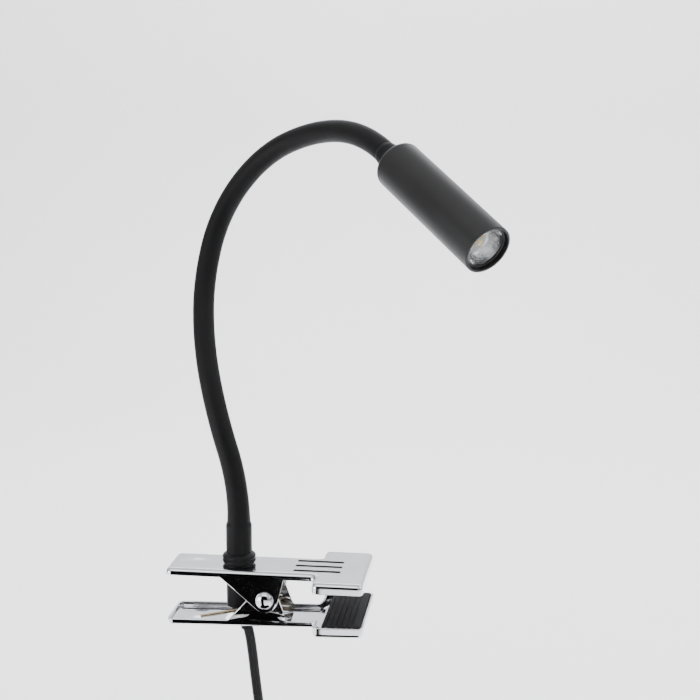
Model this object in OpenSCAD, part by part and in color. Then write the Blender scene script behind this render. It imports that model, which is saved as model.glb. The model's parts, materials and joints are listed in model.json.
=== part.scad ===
// Clip-on reading lamp: sprung sheet-metal clamp, bendable neck and tube-shaped LED head.
// Millimetres. +X runs along the clamp towards its jaws, +Z is up.
// The origin is the middle of the upper jaw pad's gripping face.

/* [Clamp] */
// Length of the clamp, from the end of its handles to the tips of its jaws
clamp_l = 102; // [92:0.2:124]
// Width of the handles, over their flanges
arm_w = 26.5; // [25:0.5:34]
// Width of the jaws, over their flanges
jaw_w = 52; // [42:1:64]
// Length of the jaws
jaw_l = 25.4; // [20:0.2:31]
// Thickness of the sheet metal
sheet_t = 1.2; // [1:0.1:1.6]
// Depth of the flange along a handle
arm_flange = 3.5; // [3:0.1:4.2]
// Depth of the flange round a jaw
jaw_flange = 5.5; // [4.5:0.1:6.5]
// How far each jaw pad stands proud of its flange
pad_proud = 0.5; // [0.3:0.1:1.2]
// Board thickness that the jaws are opened to
grip = 17; // [15:0.5:20]
// Angle between the two levers
lever_tilt = 1.5; // [0:0.5:3]
// Length of the three slots in the upper lever
slot_l = 24; // [16:1:26]
// Distance that the slots start behind the back of the jaw
slot_back = 11.8; // [9:0.2:13]
// Width of each slot
slot_w = 2.8; // [1.4:0.1:3.4]
// Distance between neighbouring slots
slot_pitch = 7.4; // [6:0.1:8]

/* [Pivot] */
// Distance from the jaw tips back to the pivot
pivot_back = 51; // [46:0.5:56]
// Drop from the top of the upper lever to the pivot
pivot_drop = 14.7; // [13:0.1:16]
// Diameter of the pivot pin
pin_d = 5; // [4:0.1:6]
// Diameter of the domed ends of the pin
dome_d = 8.8; // [7.5:0.1:10]
// Height of each domed end
dome_h = 2.8; // [2:0.1:3.5]
// Radial clearance of a lever on the pin
pin_gap = 0.06; // [0.04:0.01:0.1]
// Radius of the rounded end of each ear
ear_r = 6.5; // [6:0.1:7.5]
// Clearance between the upper ears and the lower ears
ear_gap = 0.35; // [0.3:0.05:0.6]
// Diameter of the spring wire
wire_d = 1.8; // [1.4:0.1:2.2]
// Turns in the spring
spring_turns = 7; // [5:1:8]

/* [Neck] */
// Diameter of the neck, over its sleeve
neck_d = 11; // [10:0.1:12]
// Wall of the rubber sleeve
sleeve_t = 1.4; // [1:0.1:1.6]
// Wall of the wound steel core
core_t = 1.3; // [1:0.1:1.5]
// Length of each span of the neck
span_l = 36.5; // [30:0.1:44]
// Clearance at a ball between two spans
ball_gap = 0.3; // [0.25:0.05:0.4]
// Distance from the jaw tips back to the neck
neck_back = 66.4; // [63:0.1:70]
// Diameter of the lower ferrule and of the tube nut below the plate
ferrule_d = 13.2; // [12.4:0.1:16]
// Height of the lower ferrule above the plate
ferrule_h = 23; // [20:1:28]
// Length of the tube nut below the plate
tube_nut_l = 20; // [18:0.5:21]
// Diameter of the threaded nipple
nipple_d = 10; // [9.6:0.1:10.4]
// Distance that the ribs of the rubber collar stand out from the ferrule
collar_rib = 1.9; // [1.5:0.1:2.4]
// Height of the rubber collar
collar_h = 6; // [5.6:0.1:9]
// Diameter of the insulated wires in the neck
lead_d = 1.8; // [1.4:0.1:2]

/* [Head] */
// Diameter of the head
head_d = 23.5; // [22.5:0.1:30]
// Length of the head
head_l = 74; // [64:1:90]
// Wall of the head's tube
head_t = 1.2; // [1:0.1:1.8]
// Thickness of the head's closed back
head_back_t = 3; // [2.4:0.1:4]
// Radius of the rounded back edge
head_round = 3.5; // [2:0.1:5]
// Depth of the lens below the front rim
lens_depth = 3; // [2:0.1:5]
// Height of the lens
lens_h = 10; // [8:0.5:12]
// Diameter of the upper ferrule
tip_d = 12; // [11.4:0.1:12.4]
// Length of the upper ferrule outside the head
tip_l = 9.5; // [6:0.5:12]

/* [Cord] */
// Width of the flat cord
cord_w = 5.2; // [5:0.1:5.4]
// Thickness of the flat cord
cord_t = 3.3; // [3:0.1:3.4]
// Length of the inline switch
switch_l = 56; // [50:1:60]
// Width of the inline switch
switch_w = 25; // [22:0.5:28]
// Thickness of the inline switch
switch_h = 16; // [14:0.5:18]
// Tilt of the switch's rocker
rocker_tilt = 8; // [5:0.5:10]

/* [Hidden] */
SPANS = 8;
$fn = 48;
eps = 0.01;

// Bend of each span in degrees, and the side that it bends to, turned from +X towards +Y
neck_bend = [21, 13, 11, 21, 33, 36, 25, 28];
neck_side = [155, 75, 41, -30, -25, -30, -40, -15];

// Clamp levels and places
plate_top = pad_proud + jaw_flange;
jaw_tip_x = jaw_l / 2;
jaw_back_x = -jaw_l / 2;
handle_x = jaw_tip_x - clamp_l;
neck_x = jaw_tip_x - neck_back;
pivot_x = jaw_tip_x - pivot_back;
pivot_z = plate_top - pivot_drop;
floor_bottom = -grip - pad_proud - jaw_flange;
corner_r = 3;
pad_inset = 0.4;
pad_back = 3;
ear_out = arm_w / 2;
inner_ear_out = ear_out - sheet_t - ear_gap;
cord_hole_l = 24;
cord_hole_w = ferrule_d + 2.4;
cord_hole_x = neck_x - 7;
tray_slot = 3;
upper_ear_x = [-24, 10];
lower_ear_x = [-20, 11];
ear_root = 1;
ear_foot = 0.5;
dome_gap = 0.05;
cap_socket = dome_h * 0.7;
spring_gap = 0.8;
spring_leg_x = -34;

// Foot of the neck, from the washer down to the strain relief
washer_t = 1;
washer_d = ferrule_d + 4.8;
nipple_gap = 0.2;
nipple_bore = 7;
nipple_foot = 9;
nut_top_z = plate_top - sheet_t - washer_t;
nut_foot_z = nut_top_z - tube_nut_l;
relief_plug = 7;
relief_top_z = nut_foot_z + relief_plug;
relief_foot = [-49.8, 0, -28];
relief_lean = 17;
fit_gap = 0.02;

// Neck and head
neck_r = neck_d / 2;
root_gap = 0.05;
core_r = neck_r - sleeve_t - root_gap;
core_bore = core_r - core_t;
lead_off = lead_d / 2 + 0.2;
ferrule_grip = 10;
thread_l = 8;
head_nut_t = 5;
head_nut_d = 16;
head_bore = head_d / 2 - head_t;
sink_h = 14;
board_t = 1.6;
chip_h = 0.9;
chip_w = 3.2;
chip_off = 1.9;
driver_w = 17;
driver_y = -3.2;
driver_wire_x = 3;
driver_wire_d = 1.6;
led_screw_y = 7;
led_screw_d = 2;
led_screw_l = 4;
lens_ring_h = 1.2;
lens_flange = 1.5;
lens_foot_r = 6;
lens_hollow_d = 7.8;
lens_hollow_h = 4;
lens_front = head_l - lens_depth;
lens_base = lens_front - lens_h;
chip_top = lens_base - 0.3;
board_top = chip_top - chip_h;
sink_front = board_top - board_t;

// Cord: its free stretches, from the strain relief to the switch, on to the coil, and to the plug
upper_route = [
    relief_foot, [-49.2, 0, -30], [-48.4, 0, -34], [-47.7, 0, -39], [-47, 0, -45],
    [-46.3, 0, -52], [-45.5, 0, -59], [-44.7, 0, -66], [-43.8, 0, -73], [-43.2, 0, -79], [-43, 0, -84]
];
lower_route = [
    [-43, 0, -128], [-43, 0, -134], [-43, 0, -138], [-44.4, 0, -145], [-48.4, 0, -152],
    [-54.5, 0, -157], [-60, 0, -159.4], [-65.5, 0, -161.8], [-71.6, 0, -166.8],
    [-75.6, 0, -174], [-77, 0, -182], [-74.9, 0.6, -193.6], [-67, 2.4, -206], [-54.6, 4.6, -213.9]
];
tail_route = [[-77, 16.5, -184], [-77, 16.5, -192], [-77, 16.5, -200]];
switch_x = -43;
switch_top_z = -78;
switch_mid_z = switch_top_z - switch_l / 2;
rocker_l = 17;
rocker_w = 11;
rocker_gap = 0.35;
rocker_z = switch_h / 2 - 2;
trunnion_d = 1.6;
trunnion_l = 1.8;
case_r = 8;
case_wall = 1.6;
case_gap = 0.02;
post_x = 8;
post_z = 20;
post_d = 5;
screw_d = 2.2;
coil_x = -43;
coil_z = -182;
coil_r = 30.5;
coil_turns = 3;
coil_pitch_r = 3.55;
coil_pitch_y = 5.5;
coil_in_r = coil_r - coil_turns * coil_pitch_r / 2;
coil_out_r = coil_r + coil_turns * coil_pitch_r / 2;
coil_front_y = coil_pitch_y / 2;
coil_depth = coil_turns * coil_pitch_y;
plug_foot = tail_route[2];
plug_w = 35;
plug_t = 13.6;
plug_neck_l = 16;
plug_l = 34;
plug_flare = 9;
plug_root = [9, 12];
plug_pin_d = 4;
plug_pin_l = 19;
plug_pin_span = 18.6;

// ---------- helpers ----------

// Rotation about Z, and about Y, as matrices
function turn_z(a) = [[cos(a), -sin(a), 0, 0], [sin(a), cos(a), 0, 0], [0, 0, 1, 0], [0, 0, 0, 1]];
function turn_y(a) = [[cos(a), 0, sin(a), 0], [0, 1, 0, 0], [-sin(a), 0, cos(a), 0], [0, 0, 0, 1]];
function shift(v) = [[1, 0, 0, v[0]], [0, 1, 0, v[1]], [0, 0, 1, v[2]], [0, 0, 0, 1]];

// Radius of a span's centreline
function span_r(i) = span_l * 180 / (PI * neck_bend[i]);

// Step from the foot of a span to its top
function span_step(i) =
    turn_z(neck_side[i])
    * shift([span_r(i) * (1 - cos(neck_bend[i])), 0, span_r(i) * sin(neck_bend[i])])
    * turn_y(neck_bend[i])
    * turn_z(-neck_side[i]);

// Frame at the foot of span i; frame SPANS is the top of the neck
function neck_frame(i) =
    i == 0 ? shift([neck_x, 0, plate_top + ferrule_h]) : neck_frame(i - 1) * span_step(i - 1);

function unit(v) = v / norm(v);

// Direction of a route at point i
function heading(route, i) =
    unit(route[min(i + 1, len(route) - 1)] - route[max(i - 1, 0)]);

// Tube of an oval section swept along a route that stays near the XZ plane
module swept(route, wide, thin, sides) {
    n = len(route);
    points = [
        for (i = [0 : n - 1], k = [0 : sides - 1])
            let (
                h = heading(route, i),
                across = unit(cross([0, 1, 0], h)),
                deep = cross(h, across),
                a = 360 * k / sides
            )
            route[i] + across * (wide / 2 * cos(a)) + deep * (thin / 2 * sin(a))
    ];
    walls = [
        for (i = [0 : n - 2], k = [0 : sides - 1])
            let (j = (k + 1) % sides)
            [i * sides + k, (i + 1) * sides + k, (i + 1) * sides + j, i * sides + j]
    ];
    foot = [for (k = [0 : sides - 1]) k];
    top = [for (k = [0 : sides - 1]) n * sides - 1 - k];
    polyhedron(points = points, faces = concat([foot], walls, [top]));
}

// Rectangle with round corners, from x0 to x1 and centred on Y
module rounded_plan(x0, x1, w, r) {
    translate([x0 + r, -w / 2]) square([x1 - x0 - 2 * r, w]);
    translate([x0, -w / 2 + r]) square([x1 - x0, w - 2 * r]);
    for (x = [x0 + r, x1 - r], y = [-w / 2 + r, w / 2 - r]) translate([x, y]) circle(r);
}

// Outline of a lever: handle and wider jaw, drawn in by inset
module lever_plan(inset) {
    r = corner_r - inset;
    rounded_plan(handle_x + inset, jaw_tip_x - corner_r, arm_w - 2 * inset, r);
    rounded_plan(jaw_back_x + inset, jaw_tip_x - inset, jaw_w - 2 * inset, r);
}

// Pressed tray of a lever, opening downwards, its plate's top at z = 0
module lever_tray() {
    difference() {
        union() {
            translate([0, 0, -arm_flange])
                linear_extrude(arm_flange)
                    lever_plan(0);
            translate([0, 0, -jaw_flange])
                linear_extrude(jaw_flange)
                    rounded_plan(jaw_back_x, jaw_tip_x, jaw_w, corner_r);
        }
        translate([0, 0, -jaw_flange - 1])
            linear_extrude(jaw_flange + 1 - sheet_t)
                lever_plan(sheet_t);
        translate([jaw_back_x - 1, -arm_w / 2 + sheet_t, -jaw_flange - 1])
            cube([tray_slot + 1, arm_w - 2 * sheet_t, jaw_flange + 1 - sheet_t]);
    }
}

// Side view of an ear about the pivot: wide at its root, round at the pivot
module ear_side(x_back, x_front, root) {
    shoulder_x = ear_r * cos(30);
    shoulder_z = ear_r * sin(30) * sign(root);
    polygon([[x_back, root], [x_front, root], [shoulder_x, shoulder_z], [-shoulder_x, shoulder_z]]);
    circle(ear_r);
}

// One ear as a plate standing at y, its side view about the pivot
module ear_plate(y, thick, roots, root_z) {
    translate([pivot_x, y + thick, pivot_z])
        rotate([90, 0, 0])
            linear_extrude(thick)
                ear_side(roots[0], roots[1], root_z);
}

// Hole through both ears for the pivot pin
module pin_bore(r) {
    translate([pivot_x, arm_w, pivot_z])
        rotate([90, 0, 0])
            cylinder(r = r, h = 2 * arm_w);
}

// Moves the lower lever's pieces to their tilt about the pivot
module on_lower_lever() {
    translate([pivot_x, 0, pivot_z])
        rotate([0, -lever_tilt, 0])
            translate([-pivot_x, 0, -pivot_z])
                children();
}

// Places a child at frame i of the neck
module at_neck(i) {
    multmatrix(neck_frame(i)) children();
}

// Sweeps a section round span i, placed off the centreline by off; the section's x points outwards
module along_span(i, off = [0, 0]) {
    side = neck_side[i];
    inward = off[0] * cos(side) + off[1] * sin(side);
    across = -off[0] * sin(side) + off[1] * cos(side);
    rotate([0, 0, side])
        translate([span_r(i), 0, 0])
            rotate([90, 0, 0])
                rotate([0, 0, 180 - neck_bend[i]])
                    rotate_extrude(angle = neck_bend[i])
                        translate([span_r(i) - inward, -across])
                            children();
}

// Section of a tube
module ring(outer, inner) {
    difference() {
        circle(outer);
        circle(inner);
    }
}

// Places a child at the top of span i, turned the same way as the span's bend
module at_span_top(i) {
    multmatrix(span_step(i)) rotate([0, 0, neck_side[i]]) children();
}

// Frame of the head, its z running from the back of the head to its front
module at_head() {
    multmatrix(neck_frame(SPANS) * shift([0, 0, tip_l])) children();
}

// ---------- clamp ----------

module upper_lever() color("silver")
difference() {
    union() {
        translate([0, 0, plate_top]) lever_tray();
        for (y = [-ear_out, ear_out - sheet_t])
            ear_plate(y + eps, sheet_t - 2 * eps, upper_ear_x, pivot_drop - arm_flange + ear_root);
    }
    pin_bore(pin_d / 2 + pin_gap);
    translate([neck_x, 0, nut_top_z]) cylinder(d = nipple_d + nipple_gap, h = sheet_t + 2);
    for (k = [-1, 0, 1])
        translate([jaw_back_x - slot_back, k * slot_pitch - slot_w / 2, plate_top - sheet_t - 1])
            cube([slot_l, slot_w, sheet_t + 2]);
}

module jaw_pad_block(height) {
    inset = sheet_t + pad_inset;
    linear_extrude(height)
        rounded_plan(jaw_back_x + inset + pad_back, jaw_tip_x - inset, jaw_w - 2 * inset, corner_r - 1);
}

module upper_jaw_pad() color("#202022")
jaw_pad_block(plate_top - sheet_t);

module pivot_pin() color("gainsboro")
translate([pivot_x, -ear_out - dome_gap, pivot_z])
rotate([-90, 0, 0])
union() {
    cylinder(d = pin_d, h = arm_w + 2 * dome_gap + cap_socket);
    dome();
}

// Low round dome whose flat face is at z = 0 and whose crown points to -z
module dome() {
    r = (dome_d * dome_d / 4 + dome_h * dome_h) / (2 * dome_h);
    intersection() {
        translate([0, 0, r - dome_h]) sphere(r);
        translate([0, 0, -dome_h - 1]) cylinder(d = dome_d + 1, h = dome_h + 1);
    }
}

module pivot_cap() color("gainsboro")
translate([pivot_x, ear_out + dome_gap, pivot_z])
rotate([90, 0, 0])
difference() {
    dome();
    translate([0, 0, -cap_socket]) cylinder(d = pin_d, h = dome_h);
}

// Coil round the pin, with a straight leg at each end pressing on the inside of each handle
module torsion_spring() color("silver") {
    mean_r = pin_d / 2 + spring_gap + wire_d / 2;
    half = ferrule_d / 2 + wire_d / 2 + 0.5;
    leg_low = floor_bottom + sheet_t + wire_d / 2 + 0.3 - pivot_z;
    leg_high = pivot_drop - sheet_t - wire_d / 2 - 0.1;
    end_a = 360 * spring_turns + 180 - atan2(leg_high, -spring_leg_x)
        - acos(mean_r / norm([spring_leg_x, leg_high]));
    first_a = 180 + atan2(-leg_low, -spring_leg_x) + acos(mean_r / norm([spring_leg_x, leg_low]));
    steps = spring_turns * 14;
    coil = [
        for (i = [0 : steps])
            let (a = first_a + (end_a - first_a) * i / steps)
            [mean_r * cos(a), -half + 2 * half * i / steps, mean_r * sin(a)]
    ];
    translate([pivot_x, 0, pivot_z])
        swept(
            concat([[spring_leg_x, -half, leg_low]], coil, [[spring_leg_x, half, leg_high]]),
            wire_d, wire_d, 6
        );
}

module lower_lever() color("silver")
on_lower_lever()
difference() {
    union() {
        translate([0, 0, floor_bottom]) mirror([0, 0, 1]) lever_tray();
        for (s = [-1, 1]) {
            ear_plate(
                s > 0 ? inner_ear_out - sheet_t : -inner_ear_out,
                sheet_t, lower_ear_x, floor_bottom + sheet_t - pivot_z
            );
            translate([
                pivot_x + lower_ear_x[0],
                s > 0 ? inner_ear_out - sheet_t : -ear_out + eps,
                floor_bottom + ear_foot
            ])
                cube([
                    lower_ear_x[1] - lower_ear_x[0],
                    ear_out - inner_ear_out + sheet_t - eps,
                    arm_flange - ear_foot
                ]);
        }
    }
    pin_bore(pin_d / 2 + pin_gap);
    translate([cord_hole_x, -cord_hole_w / 2, floor_bottom - 1])
        cube([cord_hole_l, cord_hole_w, sheet_t + 2]);
}

module lower_jaw_pad() color("#202022")
on_lower_lever()
translate([0, 0, -grip])
mirror([0, 0, 1])
jaw_pad_block(plate_top - sheet_t);

// ---------- foot of the neck ----------

module base_collar() color("#1c1c1e")
translate([neck_x, 0, plate_top])
rotate_extrude()
difference() {
    union() {
        rib = (collar_h - 1) / 4;
        bore_r = ferrule_d / 2 + fit_gap;
        translate([bore_r, 0]) square([collar_rib / 2, collar_h]);
        for (z = [1 + rib, 1 + 3 * rib])
            translate([ferrule_d / 2 + collar_rib - rib, z]) circle(rib);
    }
    square([ferrule_d / 2 + fit_gap, collar_h * 2]);
}

module lower_ferrule() color("#1e1e20")
translate([neck_x, 0, plate_top])
difference() {
    cylinder(d = ferrule_d, h = ferrule_h);
    translate([0, 0, -1]) cylinder(d = nipple_d, h = ferrule_h - ferrule_grip + 1);
    translate([0, 0, ferrule_h - ferrule_grip - 1]) cylinder(r = core_r, h = ferrule_grip + 2);
}

module threaded_nipple() color("silver")
translate([neck_x, 0, plate_top])
difference() {
    translate([0, 0, nipple_foot - tube_nut_l])
        cylinder(d = nipple_d, h = tube_nut_l - nipple_foot + ferrule_h - ferrule_grip);
    translate([0, 0, -tube_nut_l])
        cylinder(d = nipple_bore, h = tube_nut_l + ferrule_h);
}

module lock_washer() color("silver")
translate([neck_x, 0, nut_top_z])
difference() {
    cylinder(d = washer_d, h = washer_t);
    translate([0, 0, -1]) cylinder(d = nipple_d + nipple_gap, h = washer_t + 2);
}

module tube_nut() color("#1e1e20")
translate([neck_x, 0, nut_foot_z])
difference() {
    cylinder(d = ferrule_d, h = tube_nut_l);
    translate([0, 0, -1]) cylinder(d = nipple_d, h = tube_nut_l + 2);
}

// Tapered sleeve that leads the cord out of the tube nut
module strain_relief() color("#1c1c1e") {
    slice = 0.5;
    translate([neck_x, 0, nut_foot_z - eps]) cylinder(d = nipple_d - nipple_gap / 2, h = relief_plug);
    hull() {
        translate([neck_x, 0, nut_foot_z - slice]) cylinder(d = nipple_d - nipple_gap, h = slice, $fn = 32);
        translate(relief_foot)
            rotate([0, -relief_lean, 0])
                translate([0, 0, eps])
                    cylinder(d = cord_w + 1, h = slice, $fn = 32);
    }
}

// ---------- neck ----------

// Cup at the foot of every span but the first, which turns on the ball below it
module cup(i) {
    if (i > 0) sphere(neck_r + ball_gap);
}

// Hollow ball at the top of a sleeve, centred at z = 0, whose root lies inside the sleeve's wall
module ball_end() {
    root = 1;
    rotate_extrude()
        intersection() {
            circle(neck_r - root_gap);
            translate([core_r + 3 * root_gap, -root]) square(neck_r + root);
        }
}

// Rubber sleeve of span i, with a hollow ball at its top that turns in the cup of the next span
module neck_sleeve(i) color("#252527")
at_neck(i) {
    difference() {
        along_span(i) ring(neck_r, core_r + root_gap);
        cup(i);
    }
    if (i < SPANS - 1) at_span_top(i) ball_end();
}

// Straight end of the core, from z = 0, whose root lies inside the span's wall
module core_end(length) {
    root = 1;
    translate([0, 0, -root])
        linear_extrude(length + root)
            ring(core_r - root_gap, core_bore + root_gap);
}

// Wound steel core of span i; the first one reaches down into the lower ferrule
module neck_core(i) color("dimgray")
at_neck(i) {
    difference() {
        along_span(i) ring(core_r, core_bore);
        cup(i);
    }
    if (i == 0) rotate([0, 0, neck_side[i]]) mirror([0, 0, 1]) core_end(ferrule_grip);
}

// The two wires that cross span i
module neck_leads(i) color("white")
at_neck(i)
difference() {
    union() {
        for (s = [-1, 1]) along_span(i, [s * lead_off, 0]) circle(d = lead_d);
        if (i == 0)
            for (s = [-1, 1])
                translate([s * lead_off, 0, relief_top_z - plate_top - ferrule_h])
                    cylinder(d = lead_d - root_gap, h = plate_top + ferrule_h - relief_top_z + 0.5);
    }
    cup(i);
}

// ---------- head ----------

module upper_ferrule() color("#1e1e20")
at_neck(SPANS)
difference() {
    union() {
        cylinder(d = tip_d, h = tip_l);
        cylinder(d = nipple_d - nipple_gap, h = tip_l + thread_l);
    }
    translate([0, 0, -1]) cylinder(d = nipple_bore, h = tip_l + thread_l + 2);
}

module head_nut() color("silver")
at_head()
difference() {
    translate([0, 0, head_back_t]) cylinder(d = head_nut_d, h = head_nut_t, $fn = 6);
    translate([0, 0, head_back_t - 1]) cylinder(d = nipple_d - nipple_gap, h = head_nut_t + 2);
}

module head_housing() color("#2a2a2c")
at_head()
difference() {
    rotate_extrude() {
        square([head_d / 2 - head_round, head_l]);
        translate([0, head_round]) square([head_d / 2, head_l - head_round]);
        translate([head_d / 2 - head_round, head_round]) circle(head_round);
    }
    translate([0, 0, head_back_t]) cylinder(r = head_bore, h = head_l);
    translate([0, 0, -1]) cylinder(d = nipple_d, h = head_back_t + 2);
}

// Small driver board that stands along the head, with its parts on one face
module driver_board() color("seagreen")
at_head() {
    z0 = head_back_t + thread_l + 1;
    z1 = sink_front - sink_h + 2;
    face_y = driver_y + board_t;
    translate([-driver_w / 2, driver_y, z0]) cube([driver_w, board_t, z1 - z0]);
    translate([-4, face_y, z0 + 2]) cube([9, 7, 9]);
    translate([0, face_y, z0 + (z1 - z0) * 0.72]) cube([6, 4, 5]);
    translate([-6.5, face_y, z0 + (z1 - z0) * 0.62]) cube([4, 3, 6]);
}

module heat_sink() color("lightgray")
at_head()
translate([0, 0, sink_front - sink_h])
difference() {
    fin_l = 4;
    fin_gap = 1.6;
    slot_play = 0.05;
    cylinder(r = head_bore - fit_gap, h = sink_h);
    for (a = [0 : 45 : 315])
        rotate([0, 0, a])
            translate([head_bore - fin_l, -fin_gap / 2, -1])
                cube([fin_l + 1, fin_gap, sink_h - 3]);
    for (s = [-1, 1])
        translate([s * driver_wire_x, 0, -1]) cylinder(d = driver_wire_d + 0.8, h = sink_h + 2);
    for (s = [-1, 1])
        translate([0, s * led_screw_y, sink_h - led_screw_l - 1])
            cylinder(d = led_screw_d, h = led_screw_l + 2);
    translate([-driver_w / 2 - slot_play, driver_y - slot_play, -1])
        cube([driver_w + 2 * slot_play, board_t + 2 * slot_play, 3]);
}

module led_board() color("whitesmoke")
at_head()
translate([0, 0, sink_front])
difference() {
    cylinder(r = head_bore - 0.4, h = board_t);
    for (s = [-1, 1])
        translate([0, s * led_screw_y, -1]) cylinder(d = led_screw_d + 0.2, h = board_t + 2);
}

module led_chips() color("gold")
at_head()
for (x = [-1, 1], y = [-1, 1])
    translate([x * chip_off - chip_w / 2, y * chip_off - chip_w / 2, board_top])
        cube([chip_w, chip_w, chip_h]);

module led_screws() color("silver")
at_head()
for (s = [-1, 1])
    translate([0, s * led_screw_y, board_top]) {
        cylinder(d = 1.6 * led_screw_d, h = 1);
        translate([0, 0, -board_t - led_screw_l])
            cylinder(d = led_screw_d, h = board_t + led_screw_l + eps);
    }

// Wires from the neck to the driver, and from the driver through the heat sink
module head_leads() color("white")
at_head() {
    for (s = [-1, 1])
        translate([s * lead_off, 0, -tip_l]) cylinder(d = lead_d, h = head_back_t + thread_l + tip_l + 0.5);
    for (s = [-1, 1])
        translate([s * driver_wire_x, 0, sink_front - sink_h - 2])
            cylinder(d = driver_wire_d, h = sink_h + 2);
}

// Clear collimator: a cup with a flat flange at the front and a hollow over the chips
module tir_lens() color("azure", 0.5)
at_head()
translate([0, 0, lens_base])
difference() {
    union() {
        cylinder(r1 = lens_foot_r, r2 = head_bore - 1.2, h = lens_h - lens_flange + eps);
        translate([0, 0, lens_h - lens_flange]) cylinder(r = head_bore - 0.1, h = lens_flange);
    }
    translate([0, 0, -1]) cylinder(d = lens_hollow_d, h = lens_hollow_h + 1);
}

module lens_ring() color("#161618")
at_head()
translate([0, 0, lens_front])
difference() {
    cylinder(r = head_bore - fit_gap, h = lens_ring_h);
    translate([0, 0, -1]) cylinder(r = head_bore - 1, h = lens_ring_h + 2);
}

// ---------- cord, switch and plug ----------

module cord_upper() color("#1a1a1c")
swept(upper_route, cord_w, cord_t, 8);

module cord_lower() color("#1a1a1c")
swept(lower_route, cord_w, cord_t, 8);

module cord_tail() color("#1a1a1c")
swept(tail_route, cord_w, cord_t, 8);

module cord_coil() color("#1a1a1c")
translate([coil_x, coil_front_y + coil_depth, coil_z])
rotate([90, 0, 0])
rotate_extrude()
translate([coil_in_r, 0])
square([coil_out_r - coil_in_r, coil_depth]);

// Band round the coil's section at its foot
module cord_tie() color("#303034")
translate([coil_x, coil_front_y + coil_depth / 2, coil_z - coil_r])
difference() {
    band = 0.9;
    play = 0.35;
    deep = coil_depth + 2 * play;
    high = coil_out_r - coil_in_r + 2 * play;
    cube([5, deep + 2 * band, high + 2 * band], center = true);
    cube([6, deep, high], center = true);
}

// Outline of the switch's case, drawn in by inset
module switch_outline(inset) {
    w = switch_w - 2 * inset;
    l = switch_l - 2 * inset;
    r = case_r - inset;
    square([w - 2 * r, l], center = true);
    square([w, l - 2 * r], center = true);
    for (x = [-1, 1], z = [-1, 1]) translate([x * (w / 2 - r), z * (l / 2 - r)]) circle(r);
}

// Half of the switch's case, its joint face at z = 0
module switch_shell(windowed) {
    cord_play = 0.2;
    difference() {
        linear_extrude(switch_h / 2 - case_gap) switch_outline(0);
        translate([0, 0, -1]) linear_extrude(switch_h / 2 + 1 - case_wall) switch_outline(case_wall);
        for (s = [-1, 1])
            translate([0, s * switch_l / 2, 0])
                cube([cord_w + cord_play, 4.2, cord_t + cord_play], center = true);
        if (windowed)
            translate([-rocker_w / 2 - rocker_gap, -rocker_l / 2 - rocker_gap, 0])
                cube([rocker_w + 2 * rocker_gap, rocker_l + 2 * rocker_gap, switch_h]);
    }
    for (x = [-1, 1], z = [-1, 1])
        translate([x * post_x, z * post_z, 0])
            difference() {
                cylinder(d = post_d, h = (switch_h - case_wall) / 2);
                translate([0, 0, -1]) cylinder(d = screw_d, h = 5);
            }
}

module at_switch() {
    translate([switch_x, 0, switch_mid_z]) rotate([90, 0, 0]) children();
}

module switch_front() color("#1e1e20")
at_switch()
translate([0, 0, case_gap])
difference() {
    cheek = [2, 5, 2.7];
    bore_l = rocker_w + 2 * trunnion_l + 1;
    union() {
        switch_shell(true);
        for (s = [-1, 1])
            translate([
                s * (rocker_w / 2 + rocker_gap + cheek[0] / 2) - cheek[0] / 2,
                -cheek[1] / 2,
                rocker_z - 2.2
            ])
                cube(cheek);
    }
    translate([-bore_l / 2, 0, rocker_z - case_gap])
        rotate([0, 90, 0])
            cylinder(d = trunnion_d + 0.1, h = bore_l);
}

module switch_back() color("#1e1e20")
at_switch() mirror([0, 0, 1]) switch_shell(false);

// Rocker that tips on two trunnions, its two wings a shallow vee
module switch_rocker() color("#141416")
at_switch()
translate([0, 0, rocker_z])
rotate([rocker_tilt, 0, 0]) {
    wing = rocker_l / 2 - 0.6;
    translate([rocker_w / 2, 0, 0])
        rotate([0, -90, 0])
            linear_extrude(rocker_w)
                polygon([
                    [-3, -5], [-3, 5], [0.5, wing], [3.2, wing - 0.3], [2, 0], [3.2, 0.3 - wing], [0.5, -wing]
                ]);
    translate([-rocker_w / 2 - trunnion_l, 0, 0])
        rotate([0, 90, 0])
            cylinder(d = trunnion_d, h = rocker_w + 2 * trunnion_l);
}

module switch_screws() color("silver")
at_switch()
for (x = [-1, 1], z = [-1, 1])
    translate([x * post_x, z * post_z, -3.5]) cylinder(d = screw_d, h = 7);

module at_plug() {
    translate(plug_foot) rotate([180, 0, 0]) children();
}

// Flat two-pin plug with a tapered neck, its length along z
module plug_body() color("#1a1a1c")
at_plug() {
    slice = 0.5;
    hull() {
        cylinder(d = cord_w + 0.8, h = slice, $fn = 32);
        translate([-plug_root[0] / 2, (1 - plug_root[1]) / 2, plug_neck_l])
            cube([plug_root[0], plug_root[1] - 1, slice]);
    }
    hull() {
        translate([-plug_root[0] / 2, -plug_root[1] / 2, plug_neck_l])
            cube([plug_root[0], plug_root[1], slice]);
        for (y = [-1, 1])
            translate([0, y * (plug_w - plug_t) / 2, plug_neck_l + plug_flare])
                cylinder(d = plug_t, h = plug_l - plug_flare, $fn = 32);
    }
}

module plug_pins() color("silver")
at_plug()
for (y = [-1, 1])
    translate([0, y * plug_pin_span / 2, plug_neck_l + plug_l]) {
        cylinder(d = plug_pin_d, h = plug_pin_l - plug_pin_d / 2);
        translate([0, 0, plug_pin_l - plug_pin_d / 2]) sphere(plug_pin_d / 2);
    }

// ---------- drawing ----------

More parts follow.
